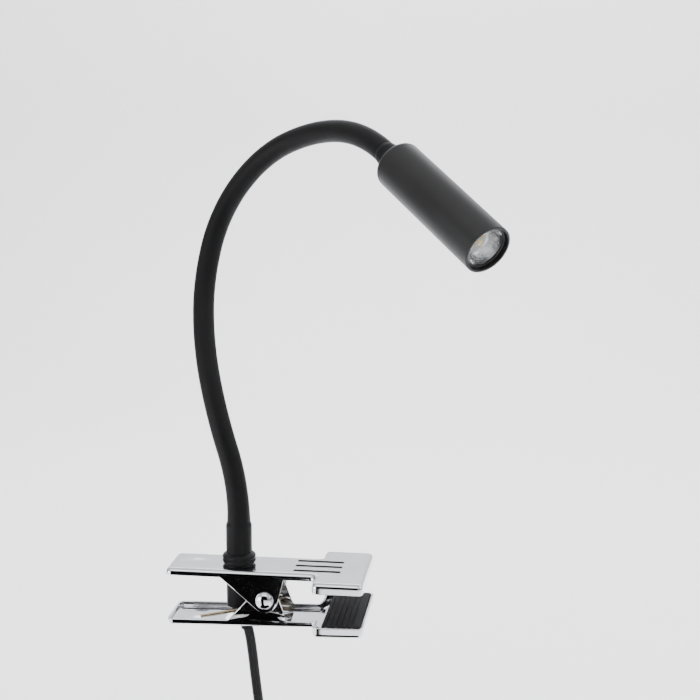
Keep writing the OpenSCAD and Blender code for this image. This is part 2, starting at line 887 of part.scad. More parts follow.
upper_lever();
upper_jaw_pad();
pivot_pin();
pivot_cap();
torsion_spring();
base_collar();
threaded_nipple();
lower_ferrule();
lock_washer();
tube_nut();
strain_relief();
for (i = [0 : SPANS - 1]) {
    neck_sleeve(i);
    neck_core(i);
    neck_leads(i);
}
upper_ferrule();
head_nut();
head_housing();
driver_board();
heat_sink();
led_board();
led_chips();
led_screws();
head_leads();
tir_lens();
lens_ring();
lower_lever();
lower_jaw_pad();
cord_upper();
cord_lower();
cord_tail();
cord_coil();
cord_tie();
switch_front();
switch_back();
switch_rocker();
switch_screws();
plug_body();
plug_pins();
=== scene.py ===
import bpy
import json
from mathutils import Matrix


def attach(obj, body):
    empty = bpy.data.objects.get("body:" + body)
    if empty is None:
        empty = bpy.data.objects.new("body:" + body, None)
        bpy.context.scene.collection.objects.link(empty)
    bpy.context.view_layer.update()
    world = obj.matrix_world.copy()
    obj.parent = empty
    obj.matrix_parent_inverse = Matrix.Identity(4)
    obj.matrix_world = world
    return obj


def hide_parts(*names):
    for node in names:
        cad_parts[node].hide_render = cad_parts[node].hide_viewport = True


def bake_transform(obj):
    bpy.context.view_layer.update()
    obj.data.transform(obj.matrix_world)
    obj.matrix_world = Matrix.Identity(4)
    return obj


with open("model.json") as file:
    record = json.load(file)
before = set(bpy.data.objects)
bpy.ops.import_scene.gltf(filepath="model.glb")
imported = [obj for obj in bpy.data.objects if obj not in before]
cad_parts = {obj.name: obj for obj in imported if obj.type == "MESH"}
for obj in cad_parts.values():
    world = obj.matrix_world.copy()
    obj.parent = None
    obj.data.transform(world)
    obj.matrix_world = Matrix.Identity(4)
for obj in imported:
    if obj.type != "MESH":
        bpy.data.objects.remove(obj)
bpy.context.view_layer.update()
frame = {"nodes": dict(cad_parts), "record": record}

import json
import math

import bmesh
import bpy
import numpy as np
from mathutils import Matrix, Vector
from mathutils.geometry import delaunay_2d_cdt

MM = 0.001

# ---------- sizes shared with the CAD part, in millimetres ----------

JAW_TIP_X = 12.7
JAW_BACK_X = -12.7
HANDLE_X = -89.3
PLATE_TOP = 6.0
SHEET_T = 1.2
ARM_W = 26.5
JAW_W = 52.0
ARM_FLANGE = 3.5
JAW_FLANGE = 5.5
FLOOR_BOTTOM = -23.0
PIVOT = (-38.3, 0.0, -8.7)
LEVER_TILT = 1.5
EAR_R = 6.5
PIN_D = 5.0
WIRE_D = 1.8
SPRING_TURNS = 7
NECK_X = -53.7
NECK_R = 5.5
SLEEVE_BORE = 4.1
FERRULE_R = 6.6
FERRULE_H = 23.0
SPAN_L = 36.5
NECK_BEND = [21, 13, 11, 21, 33, 36, 25, 28]
NECK_SIDE = [155, 75, 41, -30, -25, -30, -40, -15]
SPANS = 8
TIP_R = 6.0
TIP_L = 9.5
HEAD_R = 11.75
HEAD_L = 74.0
HEAD_T = 1.2
HEAD_BACK_T = 3.0
HEAD_ROUND = 3.5
LENS_DEPTH = 3.0
LENS_H = 10.0
RING_H = 1.2
CORD_W = 5.2
CORD_T = 3.3
SWITCH_X = -43.0
SWITCH_Z = -106.0
SWITCH_L = 56.0
SWITCH_W = 25.0
SWITCH_H = 16.0
COIL_X = -43.0
COIL_Z = -182.0
COIL_R = 30.5
PLUG_FOOT = (-77.0, 16.5, -200.0)


def link(name, data):
    """Object in the scene for a mesh, a light or a camera."""
    obj = bpy.data.objects.new(name, data)
    bpy.context.scene.collection.objects.link(obj)
    return obj


# ---------- camera ----------

CAMERA_AT = (85.35, -648.53, 234.60)
CAMERA_DOWN = 10.11
CAMERA_YAW = -7.23
CAMERA_ROLL = 0.15
LENS_MM = 69.43


def make_camera():
    """Camera at the photograph's place, from its heading, dip and roll."""
    yaw, down, roll = (math.radians(a) for a in (CAMERA_YAW, CAMERA_DOWN, CAMERA_ROLL))
    forward = Vector((math.sin(yaw) * math.cos(down), math.cos(yaw) * math.cos(down), -math.sin(down)))
    level = Vector((math.cos(yaw), -math.sin(yaw), 0))
    above = level.cross(forward)
    right = level * math.cos(roll) + above * math.sin(roll)
    up = right.cross(forward)
    data = bpy.data.cameras.new("camera")
    data.sensor_width = 36
    data.lens = LENS_MM
    data.clip_start, data.clip_end = 0.01, 20
    cam = link("camera", data)
    facing = Matrix((right, up, -forward)).transposed().to_4x4()
    cam.matrix_world = Matrix.Translation(Vector(CAMERA_AT) * MM) @ facing
    bpy.context.scene.camera = cam


make_camera()

# ---------- materials ----------


def material(name, colour, rough, metal=0.0, vary=0.12, blotch=60, grain=1500, bump=0.06,
             rough_vary=0.12, coat=0.0, specks=0.0, stretch=(1, 1, 1), specular=0.5):
    """Procedural finish: soft blotches in the colour, roughness that wanders, and a fine grain."""
    m = bpy.data.materials.new(name)
    m.use_nodes = True
    tree = m.node_tree
    nodes, links = tree.nodes, tree.links
    shader = nodes["Principled BSDF"]
    shader.inputs["Metallic"].default_value = metal
    shader.inputs["Coat Weight"].default_value = coat
    shader.inputs["Coat Roughness"].default_value = 0.12
    shader.inputs["Specular IOR Level"].default_value = specular
    where = nodes.new("ShaderNodeTexCoord")
    mapping = nodes.new("ShaderNodeMapping")
    mapping.inputs["Scale"].default_value = stretch
    links.new(where.outputs["Object"], mapping.inputs["Vector"])

    def noise(scale, detail):
        n = nodes.new("ShaderNodeTexNoise")
        n.inputs["Scale"].default_value = scale
        n.inputs["Detail"].default_value = detail
        links.new(mapping.outputs["Vector"], n.inputs["Vector"])
        return n.outputs["Fac"]

    def remap(source, low, high, out_low, out_high):
        n = nodes.new("ShaderNodeMapRange")
        for key, value in (("From Min", low), ("From Max", high), ("To Min", out_low), ("To Max", out_high)):
            n.inputs[key].default_value = value
        links.new(source, n.inputs["Value"])
        return n.outputs["Result"]

    big = noise(blotch, 4)
    fine = noise(grain, 3)
    mix = nodes.new("ShaderNodeMix")
    mix.data_type = "RGBA"
    mix.inputs["A"].default_value = [c * (1 - vary) for c in colour] + [1]
    mix.inputs["B"].default_value = [min(1, c * (1 + vary)) for c in colour] + [1]
    links.new(remap(big, 0.3, 0.7, 0, 1), mix.inputs["Factor"])
    tint = mix.outputs["Result"]
    if specks:
        dust = nodes.new("ShaderNodeMix")
        dust.data_type = "RGBA"
        dust.inputs["B"].default_value = [min(1, c * 2.2 + 0.05) for c in colour] + [1]
        links.new(tint, dust.inputs["A"])
        links.new(remap(noise(grain * 0.8, 1), 0.66, 0.76, 0, specks), dust.inputs["Factor"])
        tint = dust.outputs["Result"]
    links.new(tint, shader.inputs["Base Color"])
    links.new(remap(big, 0.25, 0.75, max(0.02, rough - rough_vary / 2), rough + rough_vary / 2),
              shader.inputs["Roughness"])
    relief = nodes.new("ShaderNodeBump")
    relief.inputs["Strength"].default_value = bump
    relief.inputs["Distance"].default_value = 0.0002
    links.new(fine, relief.inputs["Height"])
    links.new(relief.outputs["Normal"], shader.inputs["Normal"])
    return m


def lens_material():
    """Clear moulded optic."""
    m = material("lens_clear", (0.97, 0.98, 0.98), 0.03, vary=0.02, grain=900, bump=0.01, rough_vary=0.02)
    shader = m.node_tree.nodes["Principled BSDF"]
    shader.inputs["Transmission Weight"].default_value = 0.95
    shader.inputs["IOR"].default_value = 1.49
    return m


def chip_material_with_painted_glow():
    """Yellow phosphor with a faint painted glow: the LED is not lit."""
    m = material("phosphor", (0.85, 0.62, 0.12), 0.35, vary=0.12, blotch=900, grain=4000, bump=0.05)
    shader = m.node_tree.nodes["Principled BSDF"]
    # painted glow: a faint emission that brightens the unlit phosphor chips
    shader.inputs["Emission Color"].default_value = (1.0, 0.78, 0.3, 1)
    shader.inputs["Emission Strength"].default_value = 0.12
    return m


# colour, roughness, and what differs from a plain finish
FINISHES = {
    "chrome_sheet": ((0.80, 0.81, 0.83), 0.07, {
        "metal": 1.0, "vary": 0.03, "blotch": 35, "grain": 120, "bump": 0.05, "rough_vary": 0.06}),
    "spring_wire": ((0.40, 0.34, 0.24), 0.22, {
        "metal": 1.0, "vary": 0.10, "blotch": 300, "grain": 2500, "bump": 0.05}),
    "plated_steel": ((0.62, 0.62, 0.63), 0.28, {"metal": 1.0, "vary": 0.06, "grain": 2500}),
    "pad_rubber": ((0.014, 0.014, 0.015), 0.72, {
        "specular": 0.25, "vary": 0.2, "grain": 2200, "bump": 0.25, "specks": 0.2}),
    "neck_rubber": ((0.0055, 0.0055, 0.006), 0.52, {
        "specular": 0.13, "vary": 0.15, "blotch": 45, "grain": 2600, "bump": 0.10, "specks": 0.10,
        "rough_vary": 0.10}),
    "collar_rubber": ((0.005, 0.005, 0.0055), 0.40, {
        "specular": 0.17, "vary": 0.15, "blotch": 90, "grain": 2000, "bump": 0.07, "specks": 0.05}),
    "ferrule_black": ((0.0055, 0.0055, 0.006), 0.48, {
        "specular": 0.13, "vary": 0.15, "blotch": 80, "grain": 2600, "bump": 0.08, "specks": 0.06}),
    "core_steel": ((0.30, 0.30, 0.31), 0.40, {"metal": 1.0, "vary": 0.10, "stretch": (1, 1, 8)}),
    "wire_insulation": ((0.75, 0.74, 0.71), 0.40, {"vary": 0.05}),
    "head_black": ((0.0075, 0.0075, 0.008), 0.40, {
        "specular": 0.34, "vary": 0.12, "blotch": 40, "grain": 3200, "bump": 0.14, "specks": 0.10,
        "rough_vary": 0.08}),
    "ring_black": ((0.010, 0.010, 0.011), 0.55, {"vary": 0.2, "grain": 2500}),
    "board_green": ((0.03, 0.14, 0.06), 0.35, {"vary": 0.25, "blotch": 250, "coat": 0.3}),
    "heat_aluminium": ((0.72, 0.72, 0.73), 0.30, {"metal": 1.0, "vary": 0.06, "stretch": (1, 1, 6)}),
    "board_white": ((0.78, 0.78, 0.76), 0.45, {"vary": 0.05, "blotch": 400}),
    "cord_black": ((0.005, 0.005, 0.0055), 0.30, {
        "specular": 0.25, "vary": 0.15, "blotch": 120, "grain": 1800, "bump": 0.08, "specks": 0.04}),
    "tie_black": ((0.010, 0.010, 0.011), 0.45, {"specular": 0.3, "vary": 0.2, "grain": 2500, "bump": 0.15}),
    "switch_black": ((0.009, 0.009, 0.010), 0.48, {
        "specular": 0.3, "vary": 0.12, "grain": 2800, "bump": 0.22, "specks": 0.05}),
    "rocker_black": ((0.007, 0.007, 0.008), 0.26, {
        "specular": 0.35, "vary": 0.12, "grain": 1800, "bump": 0.05}),
    "plug_black": ((0.008, 0.008, 0.009), 0.36, {
        "specular": 0.3, "vary": 0.12, "grain": 2400, "bump": 0.12, "specks": 0.04}),
    "pin_metal": ((0.72, 0.70, 0.64), 0.18, {"metal": 1.0, "vary": 0.06, "blotch": 250, "grain": 2200}),
}
MATS = {name: material(name, colour, rough, **more) for name, (colour, rough, more) in FINISHES.items()}
MATS["phosphor"] = chip_material_with_painted_glow()
MATS["lens_clear"] = lens_material()

for entry in frame["record"]["subparts"]:
    node_mesh = frame["nodes"][entry["node"]].data
    node_mesh.materials.clear()
    node_mesh.materials.append(MATS[entry["material_slot"]])

# ---------- mesh helpers ----------


def add_mesh(name, verts, faces, slot, body, sharp=32.0, bevel=0.0):
    """Object in metres from millimetre points; rides on a body and takes a slot's finish."""
    mesh = bpy.data.meshes.new(name)
    mesh.from_pydata([tuple(c * MM for c in v) for v in verts], [], faces)
    work = bmesh.new()
    work.from_mesh(mesh)
    bmesh.ops.remove_doubles(work, verts=work.verts, dist=1e-7)
    bmesh.ops.recalc_face_normals(work, faces=work.faces)
    work.to_mesh(mesh)
    work.free()
    mesh.shade_smooth()
    mesh.set_sharp_from_angle(angle=math.radians(sharp))
    mesh.materials.append(MATS[slot])
    obj = link(name, mesh)
    if bevel:
        edge = obj.modifiers.new("edge", "BEVEL")
        edge.width = bevel * MM
        edge.segments = 3
        edge.limit_method = "ANGLE"
        edge.angle_limit = math.radians(35)
        edge.harden_normals = True
    if body:
        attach(obj, body)
    return obj


def rounded(points, radius, steps=5):
    """Closed polygon with each corner rounded; a point's third number is a radius of its own."""
    out = []
    n = len(points)
    for i in range(n):
        p = np.array(points[i][:2], float)
        a = np.array(points[i - 1][:2], float) - p
        b = np.array(points[(i + 1) % n][:2], float) - p
        r = points[i][2] if len(points[i]) > 2 else radius
        la, lb = np.linalg.norm(a), np.linalg.norm(b)
        cos_between = float(np.clip(a @ b / (la * lb), -1, 1))
        half = math.acos(cos_between) / 2
        if r <= 0 or half > math.radians(88):
            out.append(tuple(p))
            continue
        reach = min(r / math.tan(half), 0.49 * la, 0.49 * lb)
        r = reach * math.tan(half)
        start, end = p + a / la * reach, p + b / lb * reach
        middle = a / la + b / lb
        centre = p + middle / np.linalg.norm(middle) * (r / math.sin(half))
        u, v = start - centre, end - centre
        turn = math.atan2(u[0] * v[1] - u[1] * v[0], u @ v)
        for k in range(steps + 1):
            t = turn * k / steps
            out.append(tuple(centre + np.array([u[0] * math.cos(t) - u[1] * math.sin(t),
                                                u[0] * math.sin(t) + u[1] * math.cos(t)])))
    return out


def lathe(name, profile, place, slot, body, segments=96, **more):
    """Turns a closed (radius, height) profile round z, then moves it by place (a 4x4 in mm)."""
    n = len(profile)
    verts = []
    for c, s in circle(segments):
        verts += [place @ Vector((r * c, r * s, z)) for r, z in profile]
    faces = []
    for k in range(segments):
        j = (k + 1) % segments
        for i in range(n):
            h = (i + 1) % n
            if profile[i][0] < 1e-6 and profile[h][0] < 1e-6:
                continue
            faces.append((k * n + i, j * n + i, j * n + h, k * n + h))
    return add_mesh(name, verts, clean_faces(verts, faces), slot, body, **more)


def rounded_box(x0, y0, x1, y1, radius, steps):
    """Rectangle with rounded corners."""
    return rounded([(x0, y0), (x1, y0), (x1, y1), (x0, y1)], radius, steps)


def circle(n):
    """Directions evenly round, as (cosine, sine)."""
    return [(math.cos(2 * math.pi * k / n), math.sin(2 * math.pi * k / n)) for k in range(n)]


def between(first, second, n):
    """Quads between two closed rings of n points, given the numbers their points start at."""
    return [(first + i, first + (i + 1) % n, second + (i + 1) % n, second + i) for i in range(n)]


def band(rows, n, base=0):
    """Quads along rings of n points that follow one another."""
    return [quad for k in range(rows - 1) for quad in between(base + k * n, base + (k + 1) * n, n)]


def caps(rows, n):
    """Faces that close the first ring and the last."""
    return [tuple(range(n)), tuple(reversed(range((rows - 1) * n, rows * n)))]


def clean_faces(verts, faces):
    """Drops repeated corners, so that quads at an axis become triangles."""
    out = []
    for f in faces:
        kept = []
        for i in f:
            if not any((verts[i] - verts[k]).length < 1e-6 for k in kept):
                kept.append(i)
        if len(kept) > 2:
            out.append(tuple(kept))
    return out


def tube(name, points, section_at, slot, body, **more):
    """Closed tube along points: section_at(i) gives the ring's offsets as 3-D vectors."""
    rings = [section_at(i) for i in range(len(points))]
    rows, n = len(rings), len(rings[0])
    verts = [Vector(p) + Vector(o) for p, ring in zip(points, rings) for o in ring]
    return add_mesh(name, verts, band(rows, n) + caps(rows, n), slot, body, **more)


def headings(points):
    """Unit direction of travel at each point."""
    pts = np.array(points, float)
    h = np.gradient(pts, axis=0)
    return h / np.linalg.norm(h, axis=1)[:, None]


def smooth_route(points, steps):
    """Catmull-Rom curve through the points."""
    p = [np.array(q, float) for q in points]
    p = [2 * p[0] - p[1]] + p + [2 * p[-1] - p[-2]]
    out = []
    for i in range(1, len(p) - 2):
        for k in range(steps):
            t = k / steps
            out.append(0.5 * (2 * p[i] + (p[i + 1] - p[i - 1]) * t
                              + (2 * p[i - 1] - 5 * p[i] + 4 * p[i + 1] - p[i + 2]) * t * t
                              + (3 * p[i] - p[i - 1] - 3 * p[i + 1] + p[i + 2]) * t ** 3))
    out.append(p[-2])
    return out


def ease(t):
    """0 to 1 with a soft start and a soft end."""
    t = min(1.0, max(0.0, t))
    return t * t * (3 - 2 * t)


def shift(v):
    return Matrix.Translation(Vector(v))


def turn(axis, degrees):
    return Matrix.Rotation(math.radians(degrees), 4, axis)


FLIP = Matrix.Scale(-1, 4, (0, 0, 1))


# ---------- the cord ----------

COIL_PITCH_R = 3.55
COIL_PITCH_Y = 5.5
COIL_SLOTS = [(1, 3), (2, 3), (2, 2), (1, 2), (1, 1), (2, 1), (3, 1), (3, 2), (3, 3)]
COIL_TRAVEL = 2880
FIRST_CHANGE = 330
CHANGE_EVERY = 320
CHANGE_OVER = 40
CORD_EXIT = (-49.8, 0, -28)
UPPER_ROUTE = [
    (-50.2, 0, -26), CORD_EXIT, (-49.2, 0, -30), (-48.4, 0, -34), (-47.7, 0, -39), (-47, 0, -45),
    (-46.3, 0, -52), (-45.5, 0, -59), (-44.7, 0, -66), (-43.8, 0, -73), (-43.2, 0, -79), (-43, 0, -84),
]
S_RADIUS = 23.0
S_START_Z = -138.0


def coil_slot(angle):
    """Row and column of the cord after it has travelled angle degrees round the coil."""
    row, col = COIL_SLOTS[0]
    for k in range(1, len(COIL_SLOTS)):
        t = ease((angle - FIRST_CHANGE - CHANGE_EVERY * (k - 1)) / CHANGE_OVER)
        row += (COIL_SLOTS[k][0] - COIL_SLOTS[k - 1][0]) * t
        col += (COIL_SLOTS[k][1] - COIL_SLOTS[k - 1][1]) * t
    return row, col


def cord_path():
    """Centreline from the strain relief through the switch and the coil to the plug, with its twist."""
    points = [tuple(p) for p in smooth_route(UPPER_ROUTE, 3)]
    twist = [0.0] * len(points)
    for z in np.arange(-88, S_START_Z, -4):
        points.append((SWITCH_X, 0, float(z)))
        twist.append(0.0)
    reach = SWITCH_X - (COIL_X - COIL_R - COIL_PITCH_R)
    sweep = math.acos(1 - reach / (2 * S_RADIUS))
    steps = 12
    for k in range(steps + 1):
        a = sweep * k / steps
        points.append((SWITCH_X - S_RADIUS * (1 - math.cos(a)), 0, S_START_Z - S_RADIUS * math.sin(a)))
        twist.append(90 * ease(k / (2 * steps)))
    mid = points[-1]
    for k in range(1, steps + 1):
        a = sweep * (1 - k / steps)
        points.append((mid[0] - S_RADIUS * (math.cos(a) - math.cos(sweep)), 0,
                       mid[2] - S_RADIUS * (math.sin(sweep) - math.sin(a))))
        twist.append(90 * ease((k + steps) / (2 * steps)))
    for a in range(5, COIL_TRAVEL + 1, 5):
        row, col = coil_slot(a)
        r = COIL_R + (col - 2) * COIL_PITCH_R
        t = math.radians(180 + a)
        y = row * COIL_PITCH_Y
        if a < 100:
            y *= ease(a / 100)
        points.append((COIL_X + r * math.cos(t), y, COIL_Z + r * math.sin(t)))
        twist.append(90.0)
    for z in (-186, -190, -194, -198, -202, -206):
        points.append((points[-1][0], PLUG_FOOT[1], float(z)))
        twist.append(90.0)
    return points, twist


def flex_section(sides=24):
    """Outline of flat twin flex: two round cores side by side in one sheath."""
    lobe = CORD_T / 2
    off = (CORD_W - CORD_T) / 2
    ring = []
    for c, s in circle(sides):
        r = off * abs(c) + math.sqrt(lobe * lobe - (off * s) ** 2)
        ring.append((r * c, r * s))
    return ring


def make_cord():
    """The whole flex as one piece, with its centreline and length."""
    points, twist = cord_path()
    h = headings(points)
    flat = flex_section()

    def section(i):
        across = np.cross([0, 1, 0], h[i])
        across /= np.linalg.norm(across)
        deep = np.cross(h[i], across)
        t = math.radians(twist[i])
        wide = across * math.cos(t) + deep * math.sin(t)
        thin = np.cross(h[i], wide)
        return [wide * u + thin * v for u, v in flat]

    obj = tube("flex", points, section, "cord_black", "clamp_and_cord", sharp=60)
    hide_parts("cord_upper", "cord_lower", "cord_tail", "cord_coil")
    length = sum(np.linalg.norm(np.subtract(points[i + 1], points[i])) for i in range(len(points) - 1))
    return obj, points, length


flex, flex_points, flex_length = make_cord()

# ---------- clamp ----------

BEND_R = 2.5
CORNER_R = 3.0
NOTCH_R = 2.2
DIMPLE = (-75.0, 9.5, 6.8, 0.3)


def tilt_lower():
    """Small turn of the lower lever about the pin."""
    return shift(PIVOT) @ turn("Y", -LEVER_TILT) @ shift([-c for c in PIVOT])


def ear_depth(x, back, front, drop):
    """Depth below the plate of an ear's edge at x: straight sides down to a round end at the pivot."""
    dx = x - PIVOT[0]
    root = drop - BEND_R
    marks = []
    for end, sign in ((back, 1), (front, -1)):
        reach = math.hypot(end, root)
        a = math.atan2(root, end) + sign * math.acos(EAR_R / reach)
        marks.append((EAR_R * math.cos(a), EAR_R * math.sin(a)))
    (lx, lz), (rx, rz) = marks
    if dx <= back or dx >= front:
        return 0.0
    if dx < lx:
        z = root + (lz - root) * (dx - back) / (lx - back)
    elif dx > rx:
        z = rz + (root - rz) * (dx - rx) / (front - rx)
    else:
        z = -math.sqrt(EAR_R ** 2 - dx * dx)
    return drop - z


def lever_columns():
    """Points round the lever: (position, inward direction, flange depth, 1 along the arm's long sides)."""
    a, j = ARM_W / 2, JAW_W / 2
    corners = [
        (HANDLE_X, -a, CORNER_R, 1), (JAW_BACK_X, -a, NOTCH_R, -1), (JAW_BACK_X, -j, CORNER_R, 1),
        (JAW_TIP_X, -j, CORNER_R, 1), (JAW_TIP_X, j, CORNER_R, 1), (JAW_BACK_X, j, CORNER_R, 1),
        (JAW_BACK_X, a, NOTCH_R, -1), (HANDLE_X, a, CORNER_R, 1),
    ]
    n = len(corners)
    columns = []
    for i, (x, y, r, sign) in enumerate(corners):
        p = np.array([x, y])
        before = np.array(corners[i - 1][:2]) - p
        after = np.array(corners[(i + 1) % n][:2]) - p
        u, v = before / np.linalg.norm(before), after / np.linalg.norm(after)
        centre = p + (u + v) * r
        steps = 8
        for k in range(steps + 1):
            t = math.pi / 2 * k / steps
            out = -v * math.cos(t) - u * math.sin(t)
            deep = ARM_FLANGE if i in (0, 7) else JAW_FLANGE
            if i in (1, 6):
                way = k / steps if i == 1 else 1 - k / steps
                deep = ARM_FLANGE + (JAW_FLANGE - ARM_FLANGE) * ease(way)
            columns.append((centre + out * r, -out * sign, deep, 0))
        following = corners[(i + 1) % n]
        start = p + v * r
        end = np.array(following[:2]) - v * following[2]
        long_side = i in (0, 6)
        count = 150 if long_side else max(3, int(np.linalg.norm(end - start) / 3))
        inward = np.array([-v[1], v[0]])
        deep = ARM_FLANGE if i in (0, 6, 7) else JAW_FLANGE
        for k in range(1, count):
            columns.append((start + (end - start) * k / count, inward, deep, 1 if long_side else 0))
    return columns


def plate_mesh(ring, holes, dimple=None):
    """Triangles that fill the plate inside its ring, round its holes, with points for a thumb dimple."""
    pts = [tuple(p) for p in ring]
    edges = [(i, (i + 1) % len(ring)) for i in range(len(ring))]
    for hole in holes:
        base = len(pts)
        pts += hole
        edges += [(base + i, base + (i + 1) % len(hole)) for i in range(len(hole))]
    if dimple:
        cx, rx, ry, _ = dimple
        for ix in range(-12, 13):
            for iy in range(-9, 10):
                x, y = cx + ix * rx / 10 + (iy % 2) * rx / 20, iy * ry / 8
                if ((x - cx) / rx) ** 2 + (y / ry) ** 2 < 1.2:
                    pts.append((x, y))
    v2, _, tris, _, _, _ = delaunay_2d_cdt([Vector(p) for p in pts], edges, [], 0, 1e-5)

    def inside(c, poly):
        hit = False
        for i in range(len(poly)):
            (x1, y1), (x2, y2) = poly[i - 1], poly[i]
            if (y1 > c[1]) != (y2 > c[1]) and c[0] < (x2 - x1) * (c[1] - y1) / (y2 - y1) + x1:
                hit = not hit
        return hit

    outline = [tuple(p) for p in ring]
    kept = []
    for t in tris:
        c = [sum(v2[i][k] for i in t) / 3 for k in (0, 1)]
        if inside(c, outline) and not any(inside(c, h) for h in holes):
            kept.append(tuple(t))
    return [tuple(v) for v in v2], kept


def dimple_drop(x, y, dimple):
    """Depth of the thumb dimple at a point of the plate."""
    cx, rx, ry, deep = dimple
    q = ((x - cx) / rx) ** 2 + (y / ry) ** 2
    return deep * (1 - q) ** 2 if q < 1 else 0.0


def lever_sheet(name, body, place, ear, joggle, holes, replaced):
    """Pressed lever as one sheet: plate, rolled edge, flange and ears, with its own thickness."""
    columns = lever_columns()
    walls = 9
    arc = 6

    def spot(column, inset, z):
        q = column[0] + column[1] * inset
        return (q[0], q[1], z)

    def side(thick):
        """Rings from the plate's edge down to the rim, on the outer face or the inner one."""
        out = []
        radius = BEND_R - thick
        for k in range(arc + 1):
            a = math.pi / 2 * k / arc
            out.append([(c, BEND_R - radius * math.sin(a), -BEND_R + radius * math.cos(a)) for c in columns])
        for k in range(1, walls + 1):
            ring = []
            for c in columns:
                x, deep, on_arm = c[0][0], c[2], c[3]
                shift_in = 0.0
                if on_arm:
                    deep = max(deep, ear_depth(x, *ear))
                z = BEND_R + (deep - RIM_H - BEND_R) * k / walls
                if on_arm:
                    middle = PIVOT[0] + (ear[0] + ear[1]) / 2
                    u = (x - middle) / ((ear[1] - ear[0]) / 2)
                    begin = ARM_FLANGE - 0.6 + 2.0 * max(0.0, 1 - u * u)
                    shift_in = joggle * ease((z - begin) / JOGGLE_OVER)
                ring.append((c, thick + shift_in, -z))
            out.append(ring)
        return out

    outer, inner = side(0.0), side(SHEET_T)
    lip = [(a[0], a[1], b[1], a[2]) for a, b in zip(outer[-1], inner[-1])]
    rim = [[(c, o + (i - o) * share, z - fall) for c, o, i, z in lip]
           for share, fall in ((0.08, 0.22), (0.28, RIM_H), (0.72, RIM_H), (0.92, 0.22))]
    rings = outer + rim + inner[::-1]
    verts = [spot(*entry) for ring in rings for entry in ring]
    faces = band(len(rings), len(columns))
    edge = [spot(*entry)[:2] for entry in outer[0]]
    flat, tris = plate_mesh(edge, holes, DIMPLE)
    for level in (0.0, -SHEET_T):
        base = len(verts)
        verts += [(x, y, level - dimple_drop(x, y, DIMPLE)) for x, y in flat]
        faces += [tuple(base + i for i in t) for t in tris]
    for hole in holes:
        base, m = len(verts), len(hole)
        verts += [(x, y, z) for z in (0.0, -SHEET_T) for x, y in hole]
        faces += between(base, base + m, m)
    obj = add_mesh(name, [place @ Vector(v) for v in verts], faces, "chrome_sheet", body, sharp=50)
    even = obj.modifiers.new("even", "WEIGHTED_NORMAL")
    even.mode = "FACE_AREA"
    even.weight = 80
    even.keep_sharp = True
    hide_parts(replaced)


def slot_shade_lining(name, place, outlines):
    """Thin closed black lining inside each slot: painted shade on the punched edges, which are also left dull.
    """
    verts, faces = [], []
    top, bottom = -0.03, 0.02 - SHEET_T
    for outline in outlines:
        middle = (SLOT_X0 + SLOT_L / 2, sum(p[1] for p in outline) / len(outline))
        inset = [(x - math.copysign(SLOT_SHADE_LINING, x - middle[0]), y - math.copysign(SLOT_SHADE_LINING, y - middle[1]))
                 for x, y in outline]
        base, m = len(verts), len(outline)
        for ring, z in ((outline, top), (inset, top), (inset, bottom), (outline, bottom)):
            verts += [place @ Vector((x, y, z)) for x, y in ring]
        for k in range(4):
            faces += between(base + k * m, base + (k + 1) % 4 * m, m)
    # near-black lining: painted shade that darkens the slot walls
    return add_mesh(name, verts, faces, "ring_black", "clamp_and_cord", sharp=50)


RIM_H = 0.35
JOGGLE_OVER = 2.6
UPPER_EAR = (-24, 10, PLATE_TOP - PIVOT[2])
LOWER_EAR = (-20, 11, PIVOT[2] - FLOOR_BOTTOM)
EAR_GAP = 0.35
SLOT_X0 = JAW_BACK_X - 11.8
SLOT_L = 24.0
SLOT_W = 2.8
SLOT_PITCH = 7.4
SLOT_CORNER = 0.5
SLOT_SHADE_LINING = 0.12
slots = [rounded_box(SLOT_X0, k * SLOT_PITCH - SLOT_W / 2, SLOT_X0 + SLOT_L, k * SLOT_PITCH + SLOT_W / 2,
                     SLOT_CORNER, 4) for k in (-1, 0, 1)]
cord_hole = rounded_box(NECK_X - 7, -7.5, NECK_X + 17, 7.5, 3, 5)

upper_place = shift((0, 0, PLATE_TOP))
lever_sheet("upper_lever_sheet", "clamp_and_cord", upper_place, UPPER_EAR, 0.0, slots, "upper_lever")
# black lining in the slots, as painted shade
slot_shade_lining("upper_slot_shade_lining", upper_place, slots)
lever_sheet("lower_lever_sheet", "lower_jaw", tilt_lower() @ shift((0, 0, FLOOR_BOTTOM)) @ FLIP,
            LOWER_EAR, SHEET_T + EAR_GAP, [cord_hole], "lower_lever")


def jaw_pad(name, body, place, replaced):
    """Rubber pad with shallow grooves across its gripping face."""
    x0, x1 = JAW_BACK_X + 4.6, JAW_TIP_X - PAD_MARGIN
    top = PLATE_TOP - SHEET_T
    wide = JAW_W / 2 - PAD_MARGIN
    profile = [(x0, top), (x0, PAD_EDGE), (x0 + PAD_EDGE, 0)]
    x = x0 + 1.6
    while x < x1 - 2:
        profile += [(x, 0), (x + 0.3, GROOVE_H), (x + 0.9, GROOVE_H), (x + 1.2, 0)]
        x += GROOVE_PITCH
    profile += [(x1 - PAD_EDGE, 0), (x1, PAD_EDGE), (x1, top)]
    n = len(profile)
    verts = []
    for y, inset in ((-wide, PAD_EDGE), (-wide + PAD_EDGE, 0), (wide - PAD_EDGE, 0), (wide, PAD_EDGE)):
        verts += [place @ Vector((min(max(px, x0 + inset), x1 - inset), y, max(pz, inset) if pz < 1 else pz))
                  for px, pz in profile]
    obj = add_mesh(name, verts, band(4, n) + caps(4, n), "pad_rubber", body)
    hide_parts(replaced)


PAD_MARGIN = 1.6
PAD_EDGE = 0.4
GROOVE_H = 0.6
GROOVE_PITCH = 2.6
BOARD_T = 17
jaw_pad("upper_pad_rubber", "clamp_and_cord", shift((0, 0, 0)), "upper_jaw_pad")
jaw_pad("lower_pad_rubber", "lower_jaw", tilt_lower() @ shift((0, 0, -BOARD_T)) @ FLIP, "lower_jaw_pad")

DOME_R = 4.4
DOME_H = 2.8


